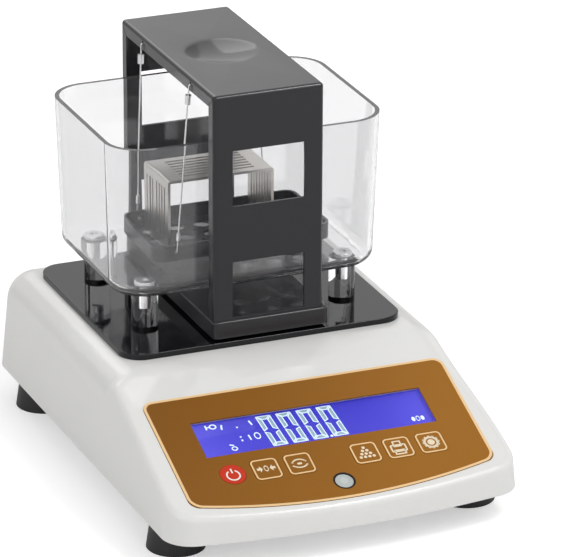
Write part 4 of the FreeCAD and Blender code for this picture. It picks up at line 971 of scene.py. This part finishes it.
@dataclass
class Display(Assembly):
    """The lit display: pane, blue sheet, digits and small marks."""

    width: float = 124.6
    height: float = 25.1
    down: float = 31.4
    border: float = 1.2
    pane_top: float = -0.5
    pane_thickness: float = 0.6
    pane_gap: float = 0.1
    pane_easing: float = 0.1
    screen_face: float = -2.5
    digit_count: int = 4
    digit_left: float = -27.1
    digit_pitch: float = 10.94
    digit_width: float = 8.2
    digit_height: float = 21.9
    digit_top: float = -18.95
    digit_slope: float = 0.1
    bar: float = 2.85
    notch: float = 1.5
    fill_rise: float = 0.1
    fill_gap: float = 0.6
    edge_rise: float = 0.06
    edge_gap: float = 0.07

    def build(self) -> None:
        """Makes the pane, dresses the display and writes its digits."""
        self.pane()
        self.dress({"lcd_module": "screen"})
        self.digits("display_digits", "digit", self.fill_rise, self.fill_gap)
        self.digits("display_digit_edges", "digit_edge", self.edge_rise, self.edge_gap)
        self.marks()

    def pane(self) -> None:
        """The clear pane over the display, with an eased edge."""
        bpy.ops.mesh.primitive_cube_add(size=1.0)
        piece = bpy.context.active_object
        side = 2 * self.border - self.pane_gap
        piece.scale = ((self.width + side) * MM, (self.height + side) * MM, self.pane_thickness * MM)
        piece.location = (0.0, -self.down * MM, (self.pane_top - self.pane_thickness / 2) * MM)
        bpy.ops.object.transform_apply(location=True, rotation=True, scale=True)
        with editing(piece):
            bpy.ops.mesh.bevel(offset=self.pane_easing * MM, segments=2, affect="EDGES")
        piece.name = "display_pane"
        settle(piece, PANEL_PLACE)
        smooth(piece)
        wear(piece, self.paint["pane"])
        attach(piece, "base")
        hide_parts("display_window")
        slot_of("display_window")
        self.note(piece)

    def digits(self, name: str, finish: str, rise: float, gap: float) -> None:
        """One layer of the four noughts.

        Args:
            name: the piece's name.
            finish: its finish.
            rise: its height over the screen.
            gap: how far each bar is drawn in.
        """
        shop = InkShop((self.screen_face + rise) * MM)
        self.nought(shop, gap)
        shop.lean(self.digit_slope, self.digit_top)
        shop.repeat(self.digit_count, self.digit_pitch)
        self.note(shop.finish(name, "lcd_module", self.paint[finish]))

    def nought(self, shop: InkShop, gap: float) -> None:
        """A nought of six mitred bars, at the first digit's place.

        Args:
            shop: the shop that cuts it.
            gap: how far each bar is drawn in.
        """
        left, right = self.digit_left, self.digit_left + self.digit_width
        top, low = self.digit_top, self.digit_top - self.digit_height
        middle = (top + low) / 2
        for outer, toward in ((top, -1), (low, 1)):
            inner = outer + toward * self.bar
            across = [(left, outer), (right, outer), (right - self.bar, inner), (left + self.bar, inner)]
            shop.plate(across, gap)
            for edge, inward in ((left, 1), (right, -1)):
                deep = edge + inward * self.bar
                notch = middle - toward * self.notch
                shop.plate([(edge, outer), (deep, inner), (deep, notch), (edge, middle)], gap)

    def marks(self) -> None:
        """The point, the zero sign on the right and small generic marks on the left."""
        shop = InkShop((self.screen_face + self.fill_rise) * MM)
        for x, y, radius, squeeze in MARK_DISCS:
            shop.disc(x, y, radius, 16, squeeze)
        for x, y, radius, line, squeeze in MARK_RINGS:
            shop.ring(x, y, radius, line, squeeze)
        for x, y, width, height, turn in MARK_SLABS:
            shop.slab(x, y, width, height, turn=turn)
        self.note(shop.finish("display_marks", "lcd_module", self.paint["digit_edge"]))


@dataclass
class SpiritLevel(Assembly):
    """The round level: its cup, domed glass and bubble."""

    down: float = 73.9
    radius: float = 5.7
    wall: float = 0.8
    face: float = 0.3
    glass_gap: float = 0.2
    glass_sink: float = 0.25
    glass_rise: float = 0.35
    bubble_radius: float = 2.3
    bubble_lift: float = 0.02
    bubble_rise: float = 0.12

    def build(self) -> None:
        """Dresses the cup and puts a domed glass with its bubble in it."""
        self.dress({"level_cup": "cup"})
        self.dome("level_dome", self.radius - self.wall - self.glass_gap, self.glass_rise,
                  self.face - self.glass_sink, "fluid", "level_glass")
        self.dome("level_bubble", self.bubble_radius, self.bubble_rise,
                  self.face + self.bubble_lift, "bubble", None)

    def dome(self, name: str, radius: float, rise: float, level: float, finish: str,
             node: str | None) -> None:
        """A shallow dome, pressed from a sphere and closed beneath.

        Args:
            name: the piece's name.
            radius: its radius.
            rise: its height in the middle.
            level: its rim's level over the panel.
            finish: its finish.
            node: the CAD node it stands for, or None.
        """
        bpy.ops.mesh.primitive_uv_sphere_add(segments=40, ring_count=20, radius=radius * MM)
        piece = bpy.context.active_object
        with editing(piece):
            bpy.ops.mesh.bisect(plane_co=(0, 0, 0), plane_no=(0, 0, 1), clear_inner=True, use_fill=True)
        piece.scale = (1.0, 1.0, rise / radius)
        piece.location = (0.0, -self.down * MM, level * MM)
        bpy.ops.object.transform_apply(location=True, rotation=True, scale=True)
        piece.name = name
        settle(piece, PANEL_PLACE)
        smooth(piece, CLEAR_ANGLE)
        wear(piece, self.paint[finish])
        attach(piece, "base")
        slot_of("level_glass")
        if node:
            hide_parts(node)
        self.note(piece)


@dataclass
class WeighingColumn(Assembly):
    """The pan, portal, hangers, tray and sample bridge."""

    def build(self) -> None:
        """Dresses what the load cell carries."""
        self.dress({"weigh_pan": "charcoal", "portal_frame": "charcoal", "hanging_tray": "charcoal",
                    "sample_bridge": "stainless", "pan_posts": "screw"})
        self.dress({"hanger_wire_" + corner: "wire" for corner in CORNERS}, WIRE_ANGLE)
        self.dress({"front_ferrules": "ferrule", "rear_ferrules": "ferrule"}, WIRE_ANGLE)


@dataclass
class Tank(Assembly):
    """The clear tank with its legs, screws and seals."""

    def build(self) -> None:
        """Dresses the tank and its fittings."""
        self.dress({"water_tank": "acrylic"}, CLEAR_ANGLE)
        self.dress({"tank_leg_" + corner: "leg" for corner in CORNERS}, CLEAR_ANGLE)
        self.dress({"leg_screws": "screw", "leg_seals": "seal"})


@dataclass
class Inside(Assembly):
    """What the casing hides: boards, leads, load cell and its fixings."""

    def build(self) -> None:
        """Finishes each hidden piece."""
        self.coat({"main_board": "board", "display_board": "board", "ribbon_cable": "ribbon",
                   "cell_lead": "black", "backlight": "diffuser", "dome_switches": "screw",
                   "board_standoffs": "brass", "foot_inserts": "brass", "board_screws": "screw",
                   "cell_riser": "aluminium", "load_cell": "aluminium", "pan_carrier": "aluminium",
                   "cell_fixed_screws": "screw", "cell_free_screws": "screw", "overload_stops": "screw"})


@dataclass
class Studio:
    """The floor, lamps, world and camera."""

    eye: Vector = field(default_factory=lambda: Vector((-892.9, -2202.4, 1048.6)) * MM)
    azimuth: float = 22.063
    elevation: float = 21.861
    roll: float = 0.109
    focal_pixels: float = 5000.0
    image_width: float = 569.0
    centre_pixel: tuple[float, float] = (253.54, 281.65)
    middle_pixel: tuple[float, float] = (284.5, 278.5)
    sensor: float = 36.0
    aim: tuple[float, float, float] = (0.0, 0.0, 0.08)
    floor_size: float = 12.0
    floor_grey: tuple = (0.86, 0.86, 0.86, 1.0)
    floor_glow: float = 0.42
    soft_light: float = 0.50
    gloss_light: float = 0.95
    card_from: float = 0.42
    card_to: float = 0.68
    card_shade: float = 0.55

    def build(self) -> None:
        """Sets up the whole studio."""
        bpy.context.scene.view_settings.view_transform = "Standard"
        self.camera()
        self.floor()
        self.world()
        self.lamp("key_lamp", (0.9, -0.9, 1.5), 1.1, 7.5)
        self.lamp("fill_lamp", (-1.2, -1.0, 1.0), 1.2, 5.0)
        self.lamp("back_lamp", (0.1, 1.4, 1.3), 1.0, 5.0)
        self.lamp("edge_lamp", (0.91, -0.92, 2.24), 0.4, 9.0)

    def camera(self) -> None:
        """Puts the camera where the photograph was taken from."""
        data = bpy.data.cameras.new("studio_camera")
        data.sensor_width = self.sensor
        data.lens = self.focal_pixels * self.sensor / self.image_width
        data.shift_x = (self.middle_pixel[0] - self.centre_pixel[0]) / self.image_width
        data.shift_y = (self.centre_pixel[1] - self.middle_pixel[1]) / self.image_width
        data.clip_end = 20.0
        camera = bpy.data.objects.new("studio_camera", data)
        bpy.context.scene.collection.objects.link(camera)
        turn = Matrix.Rotation(-math.radians(self.azimuth), 4, "Z")
        tilt = Matrix.Rotation(math.radians(90.0 - self.elevation), 4, "X")
        spin = Matrix.Rotation(math.radians(self.roll), 4, "Z")
        camera.matrix_world = Matrix.Translation(self.eye) @ turn @ tilt @ spin
        bpy.context.scene.camera = camera

    def floor(self) -> None:
        """A pale floor that shows white with the object's shadow on it."""
        bpy.ops.mesh.primitive_plane_add(size=self.floor_size, location=(0, 0, 0))
        floor = bpy.context.active_object
        floor.name = "studio_floor"
        material, sheet = new_sheet("studio_floor")
        seen = sheet.add("ShaderNodeLightPath", out="Is Camera Ray")
        clear = Signal(sheet, seen.socket.node.outputs["Is Transmission Ray"])
        shine = seen.either(clear)
        matt = sheet.add("ShaderNodeBsdfDiffuse", None, {"Color": self.floor_grey})
        strength = shine * self.floor_glow
        glow = sheet.add("ShaderNodeEmission", None, {"Color": WHITE, "Strength": strength})
        both = sheet.add("ShaderNodeAddShader", None, {0: matt, 1: glow})
        sheet.add("ShaderNodeOutputMaterial", None, {"Surface": both})
        wear(floor, material)

    def world(self) -> None:
        """Soft light all round, seen as white, with a dim card at each side for gloss."""
        world = bpy.data.worlds.new("studio_world")
        bpy.context.scene.world = world
        world.use_nodes = True
        sheet = NodeSheet(world.node_tree)
        path = sheet.add("ShaderNodeLightPath", out="Is Camera Ray")
        outputs = path.socket.node.outputs
        clear = Signal(sheet, outputs["Is Transmission Ray"])
        gloss = Signal(sheet, outputs["Is Glossy Ray"])
        view = sheet.add("ShaderNodeTexCoord", out="Generated")
        split = sheet.add("ShaderNodeSeparateXYZ", None, {"Vector": view})
        across = abs(split)
        cards = (across - self.card_from).above(0.0) * (self.card_to - across).above(0.0)
        shine = gloss * (self.gloss_light - cards * self.card_shade)
        strength = path.either(clear).either(shine).either((1.0 - gloss) * self.soft_light)
        light = sheet.add("ShaderNodeBackground", None, {"Color": WHITE, "Strength": strength})
        sheet.add("ShaderNodeOutputWorld", None, {"Surface": light})

    def lamp(self, name: str, place: tuple[float, float, float], size: float, power: float) -> None:
        """A square lamp that looks at the object's middle.

        Args:
            name: the lamp's name.
            place: where it stands, in metres.
            size: its side, in metres.
            power: its power, in watts.
        """
        data = bpy.data.lights.new(name, "AREA")
        data.size = size
        data.energy = power
        lamp = bpy.data.objects.new(name, data)
        bpy.context.scene.collection.objects.link(lamp)
        lamp.location = place
        lamp.rotation_euler = (Vector(self.aim) - Vector(place)).to_track_quat("-Z", "Y").to_euler()


def main() -> None:
    """Builds the studio, then each sub-assembly in order."""
    logging.basicConfig(level=logging.INFO, format="%(name)s %(message)s")
    Studio().build()
    paint = {name: finish.material() for name, finish in vars(Paint()).items()}
    for kind in (Housing, Panel, Display, SpiritLevel, WeighingColumn, Tank, Inside):
        part = kind(paint)
        part.build()
        LOG.info("%s is done with %d pieces", kind.__name__, len(part.made))


if __name__ == "__main__":
    main()
